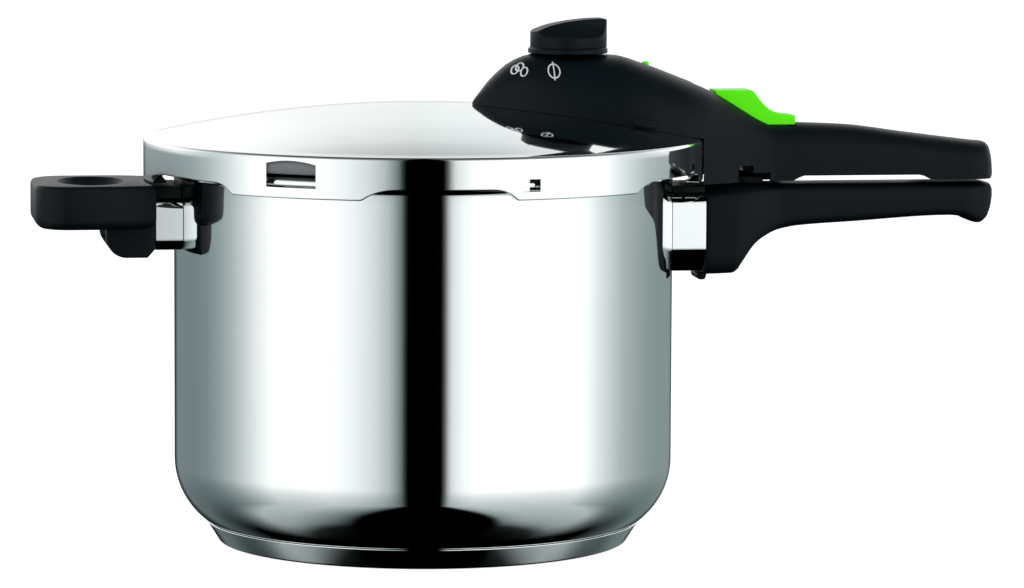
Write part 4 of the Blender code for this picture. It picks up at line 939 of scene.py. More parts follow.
@dataclass
class HelperHandle:
    """The short helper handle: a flat grip with a scooped finger hole over a deep root."""

    node: str = "helper_handle"
    depth: float = 19.2 * MM
    corner: float = 15.0 * MM
    root_depth: float = 32.0 * MM
    root_length: float = 21.6 * MM
    hole_x: float = -147.6 * MM
    hole_half_length: float = 11.5 * MM
    hole_half_width: float = 19.0 * MM
    scoop_spread: float = 3.0 * MM
    lobe_bend: float = 9.0 * MM
    lobe_inset: float = 8.0 * MM
    round_below: float = 4.6 * MM
    round_above: float = 2.0 * MM

    def grip(self) -> Piece:
        """Makes the grip from its plan outline, rounded more below than above.

        Returns:
            The grip, not yet joined to its root.
        """
        low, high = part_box(self.node)
        root_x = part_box("helper_flame_guard")[0].x - SEAT_GAP
        half = high.y
        near = arc((low.x + self.corner, self.corner - half), self.corner, 270.0, 180.0, 12)
        far = arc((low.x + self.corner, half - self.corner), self.corner, 180.0, 90.0, 12)
        shoulder = root_x - 14.0 * MM
        outline = [(root_x, 5.0 * MM - half), (shoulder, -half), *near, *far, (shoulder, half),
                   (root_x, half - 5.0 * MM)]
        foot = high.z - self.depth
        grip = plate("helper_handle_grip", [(x, y, foot) for x, y in outline],
                     (0.0, 0.0, self.depth))
        with editing(grip, "EDGE"):
            pick(grip, lambda co: co.z < foot + WELD)
            bpy.ops.mesh.bevel(offset=self.round_below, segments=6)
            bpy.ops.mesh.select_all(action="DESELECT")
            pick(grip, lambda co: co.z > high.z - WELD)
            bpy.ops.mesh.bevel(offset=self.round_above, segments=4)
        tidy_mesh(grip)
        return grip

    def root(self) -> Piece:
        """Makes the lobe under the root that holds the screw.

        Returns:
            The lobe, to be joined to the grip.
        """
        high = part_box(self.node)[1]
        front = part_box("helper_flame_guard")[0].x - SEAT_GAP
        foot = high.z - self.root_depth
        heel = front - self.root_length
        bend = self.lobe_bend
        lobe = arc((heel + bend, foot + bend), bend, 270.0, 180.0, 12)
        outline = [
            (front - 0.4 * MM, foot + 3.6 * MM), (front - 3.6 * MM, foot), *lobe,
            (heel, high.z - self.depth + 6.0 * MM), (heel + 4.0 * MM, high.z - 8.0 * MM),
            (front - 0.4 * MM, high.z - 8.0 * MM),
        ]
        lobe_piece = side_plate("helper_root", outline, high.y - self.lobe_inset)
        soften(lobe_piece, 0.8 * MM, 3, 50.0)
        return lobe_piece

    def finger_scoop(self) -> Piece:
        """Makes the cutter for the finger hole, wider at the top than below.

        Returns:
            The cutter.
        """
        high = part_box(self.node)[1]
        levels = [(-self.depth / MM - 6.0, -0.3), (-0.5 * self.depth / MM, 0.0), (-3.5, 0.45),
                  (-1.2, 0.85), (0.0, 1.15), (3.0, 1.8)]
        bpy.ops.mesh.primitive_circle_add(vertices=72, radius=1.0, fill_type="NGON",
                                          location=(self.hole_x, 0.0, high.z + levels[0][0] * MM))
        scoop = bpy.context.object
        first = levels[0][1] * self.scoop_spread
        scoop.scale = (self.hole_half_length + first, self.hole_half_width + first, 1.0)
        scoop = named("finger_scoop")
        with editing(scoop):
            bpy.ops.mesh.select_all(action="SELECT")
            for (z_a, out_a), (z_b, out_b) in zip(levels, levels[1:]):
                rise = (0.0, 0.0, (z_b - z_a) * MM)
                bpy.ops.mesh.extrude_region_move(TRANSFORM_OT_translate={"value": rise})
                a, b = out_a * self.scoop_spread, out_b * self.scoop_spread
                growth = ((self.hole_half_length + b) / (self.hole_half_length + a),
                          (self.hole_half_width + b) / (self.hole_half_width + a), 1.0)
                centre = (self.hole_x, 0.0, high.z + z_b * MM)
                bpy.ops.transform.resize(value=growth, center_override=centre)
        tidy_mesh(scoop)
        return scoop

    def build(self) -> None:
        """Joins grip and root, cuts the finger hole and dresses the handle."""
        handle = self.grip()
        carve(handle, self.root(), operation="UNION")
        carve(handle, self.finger_scoop())
        smooth(handle, 32.0)
        dress(handle, MOULDED_BLACK.material(), Slot.BLACK, Body.POT, self.node)


@dataclass
class LockKeeper:
    """The small block on the pot handle that the lid's bolt drops into."""

    node: str = "lock_keeper"
    slot_half: float = 2.2 * MM
    slot_reach: float = 5.2 * MM

    def build(self) -> None:
        """Cuts the bolt's slot, softens the edges and dresses the block."""
        low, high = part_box(self.node)
        keeper = block("keeper_block", low, high)
        slot = block("keeper_slot", (low.x - 1.0 * MM, -self.slot_half, low.z + 1.5 * MM),
                     (low.x + self.slot_reach, self.slot_half, high.z + 1.0 * MM))
        carve(keeper, slot)
        soften(keeper, 0.4 * MM, 3, 40.0)
        smooth(keeper)
        dress(keeper, MOULDED_BLACK.material(), Slot.BLACK, Body.POT, self.node)


@dataclass
class HandleScrew:
    """A pan-head screw seen from below, with a driver slot."""

    node: str
    body: Body
    sunk: float = 0.0

    def build(self) -> None:
        """Turns the screw in its node's box, cuts its slot and dresses it."""
        low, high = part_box(self.node)
        low.z += self.sunk
        centre = ((low.x + high.x) / 2.0, (low.y + high.y) / 2.0)
        head = (high.x - low.x) / 2.0
        shank = 2.0 * MM
        neck = low.z + 2.4 * MM
        dome = arc((head - 1.2 * MM, low.z + 1.2 * MM), 1.2 * MM, 270.0, 360.0, 5)
        profile = [(0.0, low.z), *dome, (head, neck), (shank, neck)]
        thread = neck + 1.5 * MM
        while thread + 0.8 * MM < high.z:
            profile += [(shank, thread), (shank - 0.35 * MM, thread + 0.35 * MM)]
            thread += 0.7 * MM
        profile += [(shank - 0.3 * MM, high.z), (0.0, high.z)]
        screw = turned(f"{self.node}_piece", profile, centre, steps=48)
        x, y = centre
        slot = block("driver_slot", (x - 1.2 * head, y - 0.45 * MM, low.z - 1.0 * MM),
                     (x + 1.2 * head, y + 0.45 * MM, low.z + 0.9 * MM))
        carve(screw, slot)
        smooth(screw)
        dress(screw, SATIN_STEEL.material(), Slot.SATIN, self.body, self.node)


# ---------------------------------------------------------------- lid


@dataclass
class Lid:
    """The domed lid: a skirt with six lugs, a window over the gasket and a vent with a bent tab."""

    radius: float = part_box("lid_shell")[1].x
    top_z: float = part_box("lid_shell")[1].z
    lug_z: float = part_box("lid_shell")[0].z
    shoulder_z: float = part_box("lid_shell")[1].z - 14.0 * MM
    sheet: float = 1.0 * MM
    knuckle: float = 1.6 * MM
    gap_rise: float = 4.8 * MM
    lip_reach: float = 6.4 * MM
    lug_half: float = 14.5
    lug_offset: float = -4.2
    flank_left: float = 13.0 * MM
    flank_right: float = 19.0 * MM
    flank_power: float = 2.9
    columns: int = 720
    window: tuple[float, float] = (-130.2, -119.1)
    window_low: float = 4.6 * MM
    window_side: float = 14.6 * MM
    window_arch: float = 1.5 * MM
    vent: tuple[float, float] = (-78.0, -74.0)
    vent_low: float = 3.6 * MM
    vent_high: float = 8.9 * MM
    vent_tab: float = 3.9 * MM
    holes: tuple[tuple[str, float], ...] = (
        ("valve_body", 5.9 * MM), ("indicator_stem", 3.9 * MM), ("safety_valve_body", 5.3 * MM),
    )

    def __post_init__(self) -> None:
        """Works out the dome's sphere."""
        self.rise = self.top_z - self.shoulder_z
        self.edge = self.radius - self.knuckle
        self.sphere = (self.edge**2 + self.rise**2) / (2.0 * self.rise)

    def dome_z(self, reach: float) -> float:
        """Gives the dome's height at a distance from the axis."""
        return self.top_z - self.sphere + math.sqrt(self.sphere**2 - reach**2)

    def flank(self, angle: float) -> float:
        """Says how far the lower edge has risen from a lug's level to a gap's.

        Args:
            angle: The azimuth in degrees.

        Returns:
            0 along a lug, 1 along a gap, and between them on a lug's flanks.
        """
        off = (angle - self.lug_offset + 30.0) % 60.0 - 30.0
        past = (abs(off) - self.lug_half) * math.radians(1.0) * self.radius
        if past <= 0.0:
            return 0.0
        width = self.flank_right if off > 0.0 else self.flank_left
        return 1.0 - (1.0 - min(past / width, 1.0)) ** self.flank_power

    def skirt_rows(self) -> list[float]:
        """Gives the heights of the skirt's rings, with one at each edge of window and vent."""
        low = self.lug_z
        return [low + self.window_side, low + 13.0 * MM, low + 11.0 * MM, low + self.vent_high,
                low + 6.6 * MM, low + self.window_low, low + self.vent_low, low + 2.2 * MM,
                low + 1.0 * MM]

    def profile(self) -> list[Flat]:
        """Gives the skin's profile from the dome's middle to the lugs' inner lip."""
        dome = [(reach, self.dome_z(reach)) for reach in spaced(0.0, self.edge, 4.8 * MM)]
        knuckle = arc((self.edge, self.shoulder_z - self.knuckle), self.knuckle, 78.0, 0.0, 7)
        rows = [(self.radius, height) for height in self.skirt_rows()]
        hem = arc((self.radius - 0.6 * MM, self.lug_z + 0.6 * MM), 0.6 * MM, 0.0, -90.0, 4)
        lip = [(self.radius - reach * MM, self.lug_z) for reach in (2.5, 4.5)]
        return [*dome, *knuckle, *rows, *hem, *lip, (self.radius - self.lip_reach, self.lug_z)]

    def shape(self, place: Vector) -> Vector:
        """Lifts the lower edge between the lugs and arches the window's top."""
        reach = math.hypot(place.x, place.y)
        angle = math.degrees(math.atan2(place.y, place.x))
        low = self.lug_z
        pivot = low + self.vent_high
        risen = self.flank(angle)
        if place.z < pivot and reach > self.radius - self.lip_reach - MM:
            hem = self.gap_rise * risen
            span = self.vent_high
            place.z = pivot - (pivot - place.z) * (span - hem) / span
            inset = self.radius - reach
            if inset > 0.7 * MM:
                kept = 0.7 * MM + (inset - 0.7 * MM) * (1.0 - risen)
                place.xy *= (self.radius - kept) / reach
        start, end = self.window
        if start - 0.1 < angle < end + 0.1 and abs(place.z - low - self.window_side) < WELD:
            share = 2.0 * (angle - start) / (end - start) - 1.0
            place.z += self.window_arch * (1.0 - share * share)
        return place

    def inside(self, place: Vector, span: tuple[float, float], low: float, high: float) -> bool:
        """Says whether a face's middle lies in an opening of the skirt."""
        angle = math.degrees(math.atan2(place.y, place.x))
        on_skirt = math.hypot(place.x, place.y) > self.radius - 0.5 * MM
        return on_skirt and span[0] < angle < span[1] and low < place.z < high

    def build(self) -> None:
        """Turns the skin, shapes and opens it, gives it its wall and dresses it."""
        lid = turned("lid_dome", self.profile(), steps=self.columns)
        low = self.lug_z
        with editing(lid, "FACE"):
            pick(lid, lambda co: self.inside(
                co, self.window, low + self.window_low, low + self.window_side))
            pick(lid, lambda co: self.inside(
                co, self.vent, low + self.vent_low, low + self.vent_high))
            bpy.ops.mesh.delete(type="FACE")
        reshape(lid, self.shape)
        with editing(lid):
            bpy.ops.mesh.select_all(action="SELECT")
            bpy.ops.mesh.remove_doubles(threshold=0.02 * MM)
        thicken(lid, self.sheet)
        for node, hole in self.holes:
            middle = sum(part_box(node), Vector()) / 2.0
            bpy.ops.mesh.primitive_cylinder_add(vertices=48, radius=hole, depth=40.0 * MM,
                                                location=(middle.x, middle.y, self.shoulder_z))
            carve(lid, named("lid_hole"))
        smooth(lid, 40.0)
        dress(lid, MIRROR_STEEL.material(), Slot.POLISHED, Body.LID, "lid_shell")
        self.build_vent_tab()

    def build_vent_tab(self) -> None:
        """Makes the tab that is bent inwards from the vent's left edge."""
        start = math.radians(self.vent[0])
        inner = self.radius - self.sheet
        low, high = self.lug_z + self.vent_low + 0.1 * MM, self.lug_z + self.vent_high - 0.1 * MM
        places = []
        for step in range(9):
            share = step / 8.0
            angle = start + share * self.vent_tab / inner
            reach = inner + 0.2 * MM - 0.9 * MM * share**1.5
            places.append((reach * math.cos(angle), reach * math.sin(angle), low))
        tab = traced("lid_vent_tab", places)
        with editing(tab):
            bpy.ops.mesh.select_all(action="SELECT")
            bpy.ops.mesh.extrude_region_move(TRANSFORM_OT_translate={"value": (0, 0, high - low)})
        thicken(tab, 0.6 * MM, inwards=False)
        tidy_mesh(tab)
        smooth(tab)
        dress(tab, MIRROR_STEEL.material(), Slot.POLISHED, Body.LID)


@dataclass
class Gasket:
    """The silicone ring inside the skirt, with a bead on top and a sealing lip below."""

    node: str = "lid_gasket"
    band_low: float = 171.7 * MM

    def build(self) -> None:
        """Turns the ring and dresses it."""
        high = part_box(self.node)[1]
        outer = high.x
        ring = turned("lid_gasket_ring", [
            (outer - 0.6 * MM, self.band_low), (outer, self.band_low + 0.6 * MM),
            (outer, high.z - 0.6 * MM), (outer - 0.6 * MM, high.z), (outer - 11.4 * MM, high.z),
            (outer - 12.0 * MM, high.z - 0.8 * MM), (outer - 11.0 * MM, high.z - 2.6 * MM),
            (outer - 4.0 * MM, high.z - 2.8 * MM), (outer - 3.4 * MM, self.band_low + 3.0 * MM),
            (outer - 10.6 * MM, self.band_low + 0.6 * MM),
            (outer - 10.2 * MM, self.band_low - 1.0 * MM), (outer - 4.0 * MM, self.band_low),
        ], steps=240, closed=True)
        smooth(ring, 50.0)
        dress(ring, GREY_SILICONE.material(), Slot.SILICONE, Body.LID, self.node)


# ---------------------------------------------------------------- lid handle


@dataclass
class LidHandle:
    """The teardrop pod over the valves that runs out into the long upper grip."""

    lid: Lid
    node: str = "lid_handle_shell"
    half: float = 34.5 * MM
    swell: float = 78.0 * MM
    grip_half: float = 16.0 * MM
    wall: float = 2.4 * MM
    clearance: float = 0.12 * MM
    roundness: float = 2.6
    side_share: float = 0.35
    catch_x: float = 93.8 * MM
    catch_length: float = 10.5 * MM
    catch_depth: float = 3.6 * MM
    catch_lean: float = -8.0
    recess_lift: float = 2.3 * MM
    crest: tuple[Flat, ...] = (
        (-102.4, 14.3), (-101.6, 15.7), (-98.8, 19.2), (-95.1, 23.8), (-90.6, 28.2),
        (-86.2, 31.7), (-79.9, 34.8), (-74.5, 36.0), (-39.2, 35.3), (-25.2, 31.4), (-11.0, 26.0),
        (3.4, 20.1), (17.0, 12.6), (26.0, 7.4), (31.5, 5.3), (43.5, 4.8), (65.5, 3.8),
        (95.0, 0.0), (124.4, -3.7), (129.4, -4.2), (131.0, -5.2), (132.0, -8.0), (132.5, -11.0),
        (133.0, -16.0),
    )

    def __post_init__(self) -> None:
        """Works out the handle's ends."""
        low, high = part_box(self.node)
        self.nose_x, self.end_x = low.x, high.x - 0.6 * MM
        self.foot_z = low.z

    def crest_z(self, x: float) -> float:
        """Gives the height of the ridge at x."""
        points = [(self.lid.radius + along * MM, self.lid.shoulder_z + up * MM)
                  for along, up in self.crest]
        return flowing(points, x)

    def half_at(self, x: float) -> float:
        """Gives half the width in plan at x."""
        middle = self.nose_x + self.swell
        if x < middle:
            ahead = min((middle - x) / self.swell, 0.9995)
            return self.half * math.sqrt(1.0 - ahead**1.5)
        flare = self.half - self.grip_half
        edge = self.lid.radius
        return self.grip_half + flowing([
            (middle, flare), (edge - 12.0 * MM, 0.96 * flare), (edge - 3.0 * MM, 0.80 * flare),
            (edge + 6.0 * MM, 0.52 * flare), (edge + 15.0 * MM, 0.25 * flare),
            (edge + 24.0 * MM, 0.07 * flare), (edge + 32.0 * MM, 0.0),
            (self.end_x - 10.0 * MM, 0.0), (self.end_x - 4.5 * MM, -0.13 * self.grip_half),
            (self.end_x - 1.5 * MM, -0.36 * self.grip_half), (self.end_x, -0.6 * self.grip_half),
        ], x)

    def foot_at(self, x: float) -> float:
        """Gives the height of the lower edge at x, with the shallow recess along the grip."""
        start, end = self.lid.radius + 44.0 * MM, self.end_x - 35.0 * MM
        roof = self.foot_z + self.recess_lift
        return flowing([
            (start - 3.0 * MM, self.foot_z), (start, roof), (end, roof),
            (end + 2.6 * MM, self.foot_z + 1.4 * MM),
            (end + 5.6 * MM, self.foot_z), (self.end_x - 2.0 * MM, self.foot_z),
            (self.end_x, self.foot_z + 1.4 * MM),
        ], x)

    def section(self) -> list[Flat]:
        """Gives the hood's open section: upright sides under a crowned top."""
        points: list[Flat] = [(-1.0, 0.0), (-1.0, 0.5 * self.side_share)]
        steps = 40
        for step in range(steps + 1):
            turn = math.pi * (1.0 - step / steps)
            power = 2.0 / self.roundness
            across = math.copysign(abs(math.cos(turn)) ** power, math.cos(turn))
            up = abs(math.sin(turn)) ** power if 0 < step < steps else 0.0
            points.append((across, self.side_share + (1.0 - self.side_share) * up))
        return [*points, (1.0, 0.5 * self.side_share), (1.0, 0.0)]

    def stations(self) -> list[Station]:
        """Gives the places along the handle, close together at both ends and at the corners."""
        places = [self.nose_x + 0.16 * MM * step**2 for step in range(1, 14)]
        places += spaced(self.nose_x + 30.0 * MM, self.end_x - 8.0 * MM, 2.5 * MM)
        places += [self.end_x - 8.0 * MM * (1.0 - step / 10.0) ** 1.7 for step in range(1, 11)]
        return [Station(x, self.half_at(x), self.foot_at(x), self.crest_z(x)) for x in places]

    def relief(self) -> Piece:
        """Makes the cutter that fits the pod to the dome and to the skirt.

        Returns:
            The cutter.
        """
        edge = self.lid.radius + 0.5 * MM
        dome = [(edge * step / 30.0, self.lid.dome_z(min(edge * step / 30.0, self.lid.edge))
                 + self.clearance) for step in range(31)]
        foot = self.foot_z - 12.0 * MM
        return turned("dome_relief", [*dome, (edge, foot), (0.0, foot)], steps=240)

    def openings(self) -> list[Piece]:
        """Makes the cutters for the dial, the indicator, the slider and the keeper's notch.

        Returns:
            The cutters.
        """
        collar_low, collar_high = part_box("dial_collar")
        dial = ((collar_low.x + collar_high.x) / 2.0, 0.0)
        seat = (collar_high.x - collar_low.x) / 2.0 + 0.6 * MM
        seat_z = collar_low.z - 0.3 * MM
        drill = turned("dial_drill", [
            (0.0, seat_z - 12.0 * MM), (9.1 * MM, seat_z - 12.0 * MM), (9.1 * MM, seat_z),
            (seat, seat_z), (seat, seat_z + 9.0 * MM), (0.0, seat_z + 9.0 * MM),
        ], dial, steps=96)
        pin_low, pin_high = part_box("indicator_cap")
        pin = ((pin_low.x + pin_high.x) / 2.0, 0.0)
        window = turned("indicator_drill", [
            (0.0, pin_low.z), (2.2 * MM, pin_low.z), (2.2 * MM, pin_high.z + 8.0 * MM),
            (0.0, pin_high.z + 8.0 * MM),
        ], pin, steps=32)
        slider_low, slider_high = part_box("lock_slider")
        slot = block("slider_slot",
                     (slider_low.x - 8.3 * MM, -8.3 * MM, self.lid.shoulder_z - 2.0 * MM),
                     (slider_high.x + 0.7 * MM, 8.3 * MM, self.lid.shoulder_z + 40.0 * MM))
        keeper_low, keeper_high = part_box("lock_keeper")
        low = self.foot_z - 5.0 * MM
        far = keeper_high.y + 0.6 * MM
        start = keeper_low.x - 2.8 * MM
        notch = block("notch", (start, -2.0 * self.half, low),
                      (keeper_high.x + 1.4 * MM, far, keeper_high.z + 2.4 * MM))
        deep = block("notch_deep", (start, -2.0 * self.half, low),
                     (keeper_low.x + 4.6 * MM, far, keeper_high.z + 5.7 * MM))
        return [drill, window, slot, notch, deep]

    def build(self) -> None:
        """Draws the hood out, gives it its wall, opens it and dresses it."""
        hood = swept("lid_handle_hood", self.section(), self.stations(), closed=False, capped=True)
        thicken(hood, self.wall)
        carve(hood, self.relief(), *self.openings())
        smooth(hood, 34.0)
        dress(hood, MOULDED_BLACK.material(), Slot.BLACK, Body.LID, self.node)
        self.build_catch()
        self.build_rib()

    def build_catch(self) -> None:
        """Makes the small rounded catch on the pod's lower edge."""
        x, depth = self.catch_x, self.catch_depth
        y = -self.half_at(x)
        middle = self.lid.dome_z(math.hypot(x, y)) + 0.7 * MM + 0.5 * depth
        turn = math.radians(self.catch_lean)
        reach = 0.5 * (self.catch_length - depth)
        stadium = [*arc((reach, 0.0), 0.5 * depth, -90.0, 90.0, 8),
                   *arc((-reach, 0.0), 0.5 * depth, 90.0, 270.0, 8)]
        outline = [
            (x + a * math.cos(turn) - b * math.sin(turn), y - 1.1 * MM,
             middle + a * math.sin(turn) + b * math.cos(turn)) for a, b in stadium
        ]
        catch = plate("pod_catch", outline, (0.0, 3.0 * MM, 0.0))
        soften(catch, 0.7 * MM, 4, 40.0)
        smooth(catch)
        dress(catch, MOULDED_BLACK.material(), Slot.BLACK, Body.LID)

    def build_rib(self) -> None:
        """Makes the rib inside the hood that stands behind the keeper's notch."""
        low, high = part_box("lock_keeper")
        rib = block("lid_handle_rib", (low.x - 5.0 * MM, high.y + 1.2 * MM, self.foot_z - 1.4 * MM),
                    (high.x + 10.0 * MM, high.y + 2.6 * MM, self.foot_z + 9.0 * MM))
        soften(rib, 0.3 * MM, 2)
        smooth(rib)
        dress(rib, MOULDED_BLACK.material(), Slot.BLACK, Body.LID)


@dataclass
class Dial:
    """The pressure selector: a collar, and a grip scooped on both sides to leave a fin."""

    centre_x: float = (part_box("dial_collar")[0].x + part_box("dial_collar")[1].x) / 2.0
    collar_low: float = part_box("dial_collar")[0].z
    collar_high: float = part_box("dial_collar")[1].z
    top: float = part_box("dial_grip")[1].z
    radius: float = 17.0 * MM
    skirt: float = 4.4 * MM
    ridge: tuple[Flat, ...] = (
        (-16.3, -5.9), (-13.6, -4.8), (-9.2, -3.1), (-2.5, -1.6), (4.1, -0.65), (10.8, -0.1),
        (15.0, 0.0), (17.4, -0.6),
    )

    def crown(self, place: Vector) -> Vector:
        """Brings the top face to the ridge's curve and draws the nose in a little."""
        off = place.x - self.centre_x
        place.x = self.centre_x + off * (0.985 if off < 0.0 else 1.02)
        if place.z > self.top - WELD:
            place.z = self.top + flowing(self.ridge, (place.x - self.centre_x) / MM) * MM
        return place

    def build(self) -> None:
        """Turns the collar, shapes the grip and dresses both."""
        centre = (self.centre_x, 0.0)
        low, high = self.collar_low, self.collar_high
        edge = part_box("dial_collar")[1].x - self.centre_x - 0.3 * MM
        collar = turned("dial_collar_ring", [
            (9.0 * MM, low), (edge - 0.4 * MM, low), (edge, low + 0.4 * MM),
            (edge, high - 0.9 * MM), (edge - 0.9 * MM, high), (9.0 * MM, high),
        ], centre, steps=128, closed=True)
        smooth(collar)
        dress(collar, MOULDED_BLACK.material(), Slot.BLACK, Body.DIAL, "dial_collar")
        grip = turned("dial_grip_lever", [
            (0.0, high + 0.1 * MM), (self.radius, high + 0.1 * MM),
            (self.radius, high + self.skirt), (self.radius, self.top),
            *[(self.radius * share, self.top) for share in (0.9, 0.75, 0.6, 0.45, 0.3, 0.15, 0.0)],
        ], centre, steps=96)
        reshape(grip, self.crown)
        for side in (-1.0, 1.0):
            carve(grip, self.scoop(side))
        soften(grip, 0.7 * MM, 3, 48.0)
        smooth(grip, 34.0)
        dress(grip, MOULDED_BLACK.material(), Slot.BLACK, Body.DIAL, "dial_grip")

    def scoop(self, side: float) -> Piece:
        """Makes the hollow that the thumb or the finger fills on one side of the fin.

        Args:
            side: -1 for the near side and 1 for the far side.

        Returns:
            The cutter.
        """
        floor = self.collar_high + self.skirt
        bend = 9.0 * MM
        fin = 6.0 * MM
        corner = arc((fin + bend, floor + bend), bend, 180.0, 262.0, 10)
        outline = [(fin + 0.6 * MM, self.top + 6.0 * MM), *corner, (30.0 * MM, floor + 0.2 * MM),
                   (30.0 * MM, self.top + 6.0 * MM)]
        start = self.centre_x - 30.0 * MM
        cutter = plate(f"scoop_{int(side)}", [(start, side * y, z) for y, z in outline],
                       (60.0 * MM, 0.0, 0.0))
        return cutter


@dataclass
class LockSlider:
    """The lime thumb slide: a ramped button with a scooped back."""

    node: str = "lock_slider"
    button_half: float = 8.0 * MM
    back: float = 3.0 * MM
    set_back: float = 1.9 * MM
    flat: float = 16.6 * MM
    fall: tuple[Flat, ...] = (
        (0.0, 0.0), (0.05, 0.05), (0.136, 0.255), (0.295, 0.57), (0.43, 0.765), (0.60, 0.90),
        (0.77, 0.96), (1.0, 1.0),
    )

    def build(self) -> None:
        """Draws the button's side, adds its wedge and foot, and dresses it."""
        low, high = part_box(self.node)
        start, end = low.x + self.set_back, high.x + 0.3 * MM
        deck, top = high.z - 15.0 * MM, high.z - 0.6 * MM
        scoop_start = start + self.flat
        floor = deck + self.back
        run, drop = end - scoop_start, top - floor
        curve = [(scoop_start + run * t, top - drop * flowing(self.fall, t))
                 for t in (step / 20.0 for step in range(1, 21))]
        outline = [(start, deck - 0.8 * MM), (start, top), (scoop_start, top), *curve,
                   (end, deck - 0.8 * MM)]
        button = side_plate("lock_slider_button", outline, self.button_half)
        with editing(button, "EDGE"):
            pick(button, lambda co: co.z > deck + 1.0 * MM
                 and abs(abs(co.y) - self.button_half) < WELD)
            bpy.ops.mesh.bevel(offset=0.9 * MM, segments=4)
        foot = block("slider_neck", (low.x + 16.5 * MM, -3.0 * MM, low.z + 2.2 * MM),
                     (high.x - 1.5 * MM, 3.0 * MM, deck))
        soften(foot, 0.4 * MM, 2)
        carve(button, foot, operation="UNION")
        smooth(button, 36.0)
        dress(button, LIME_PLASTIC.material(), Slot.GREEN, Body.SLIDER, self.node)


@dataclass
class Indicator:
    """The lime pin that shows pressure."""

    node: str = "indicator_cap"

    def build(self) -> None:
        """Turns the pin with a rounded head and dresses it."""
        low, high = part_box(self.node)
        radius = (high.x - low.x) / 2.0
        head = arc((radius - 0.8 * MM, high.z - 0.8 * MM), 0.8 * MM, 0.0, 90.0, 6)
        pin = turned("indicator_pin", [
            (0.0, low.z), (radius, low.z), *head, (0.0, high.z),
        ], ((low.x + high.x) / 2.0, 0.0), steps=48)
        smooth(pin)
        dress(pin, LIME_PLASTIC.material(), Slot.GREEN, Body.INDICATOR, self.node)


class Mark(Enum):
    """The pictograms printed on the pod."""

    STEAM = "steam"
    LOCKED = "locked"


@dataclass
class Pictograms:
    """Two small printed signs beside the dial, laid on the pod's near side."""

    pod: str = "lid_handle_hood"
    line: float = 0.55 * MM
    print_depth: float = 0.06 * MM
    drawn_at: float = -60.0 * MM
    locked_at: Flat = (55.5 * MM, 209.4 * MM)
    steam_at: Flat = (41.2 * MM, 210.5 * MM)
    puffs: tuple[tuple[float, float, float], ...] = (
        (-2.0, -0.9, 34.0), (0.1, 0.3, 38.0), (1.6, -1.6, 26.0),
    )

    def ring(self, name: str, centre: Flat, half: Flat, lean: float) -> Piece:
        """Draws one oval line in the plane that faces the viewer.

        Args:
            name: The piece's name.
            centre: Its middle in X and Z.
            half: Its half width and half height.
            lean: How far it leans, in degrees.

        Returns:
            The flat ring, still in front of the pod.
        """
        turn = math.radians(lean)

        def spot(angle: float, grow: float) -> Spot:
            """Gives a place on the oval, grown by part of the line's width."""
            a, b = (half[0] + grow) * math.cos(angle), (half[1] + grow) * math.sin(angle)
            x = centre[0] + a * math.cos(turn) + b * math.sin(turn)
            z = centre[1] - a * math.sin(turn) + b * math.cos(turn)
            return (x, self.drawn_at, z)

        steps = 40
        inside = [spot(TURN * step / steps, -0.5 * self.line) for step in range(steps)]
        piece = traced(name, inside, closed=True)
        inner = (half[0] - 0.5 * self.line, half[1] - 0.5 * self.line)
        outer = (half[0] + 0.5 * self.line, half[1] + 0.5 * self.line)
        with editing(piece):
            bpy.ops.mesh.select_all(action="SELECT")
            bpy.ops.mesh.extrude_region_move(TRANSFORM_OT_translate={"value": (0.0, 0.0, 0.0)})
            growth = (outer[0] / inner[0], 1.0, outer[1] / inner[1])
            place = (centre[0], 0.0, centre[1])
            bpy.ops.transform.resize(value=growth, center_override=place)
        return piece

    def stroke(self, name: str, start: Flat, end: Flat) -> Piece:
        """Draws a straight line in the plane that faces the viewer.

        Args:
            name: The piece's name.
            start: One end in X and Z.
            end: The other end.

        Returns:
            The flat line, still in front of the pod.
        """
        count = 12
        places = [(start[0] + (end[0] - start[0]) * s / count - 0.5 * self.line, self.drawn_at,
                   start[1] + (end[1] - start[1]) * s / count) for s in range(count + 1)]
        piece = traced(name, places)
        with editing(piece):
            bpy.ops.mesh.select_all(action="SELECT")
            across = (self.line, 0.0, 0.0)
            bpy.ops.mesh.extrude_region_move(TRANSFORM_OT_translate={"value": across})
        return piece

    def print_on(self, lines: Sequence[Piece], name: str) -> None:
        """Joins the lines of a sign, lays them on the pod and gives them the print's thickness.

        Args:
            lines: The flat lines.
            name: The sign's name.
        """
        focus(lines[0])
        for line in lines[1:]:
            line.select_set(True)
        bpy.ops.object.join()
        sign = bpy.context.object
        sign.name = name
        applied(sign, "SHRINKWRAP", target=bpy.data.objects[self.pod], wrap_method="PROJECT",
                use_project_y=True, use_negative_direction=True, use_positive_direction=True,
                offset=0.05 * MM)
        tidy_mesh(sign)
        thicken(sign, self.print_depth, inwards=False)
        smooth(sign)
        dress(sign, PRINTED_GREY.material(), Slot.BLACK, Body.LID)

    def build(self, marks: Sequence[Mark] = (Mark.STEAM, Mark.LOCKED)) -> None:
        """Prints the asked signs.

        Args:
            marks: Which signs to print.
        """
        if Mark.LOCKED in marks:
            x, z = self.locked_at
            self.print_on([
                self.ring("locked_ring", (x, z), (2.5 * MM, 2.9 * MM), 0.0),
                self.stroke("locked_bar", (x, z - 3.9 * MM), (x, z + 3.9 * MM)),
            ], "sign_locked")
        if Mark.STEAM in marks:
            x, z = self.steam_at
            self.print_on([
                self.ring(f"steam_puff_{index}", (x + across * MM, z + up * MM),
                          (1.2 * MM, 2.0 * MM), lean)
                for index, (across, up, lean) in enumerate(self.puffs)
            ], "sign_steam")


# ---------------------------------------------------------------- what stays from the frame


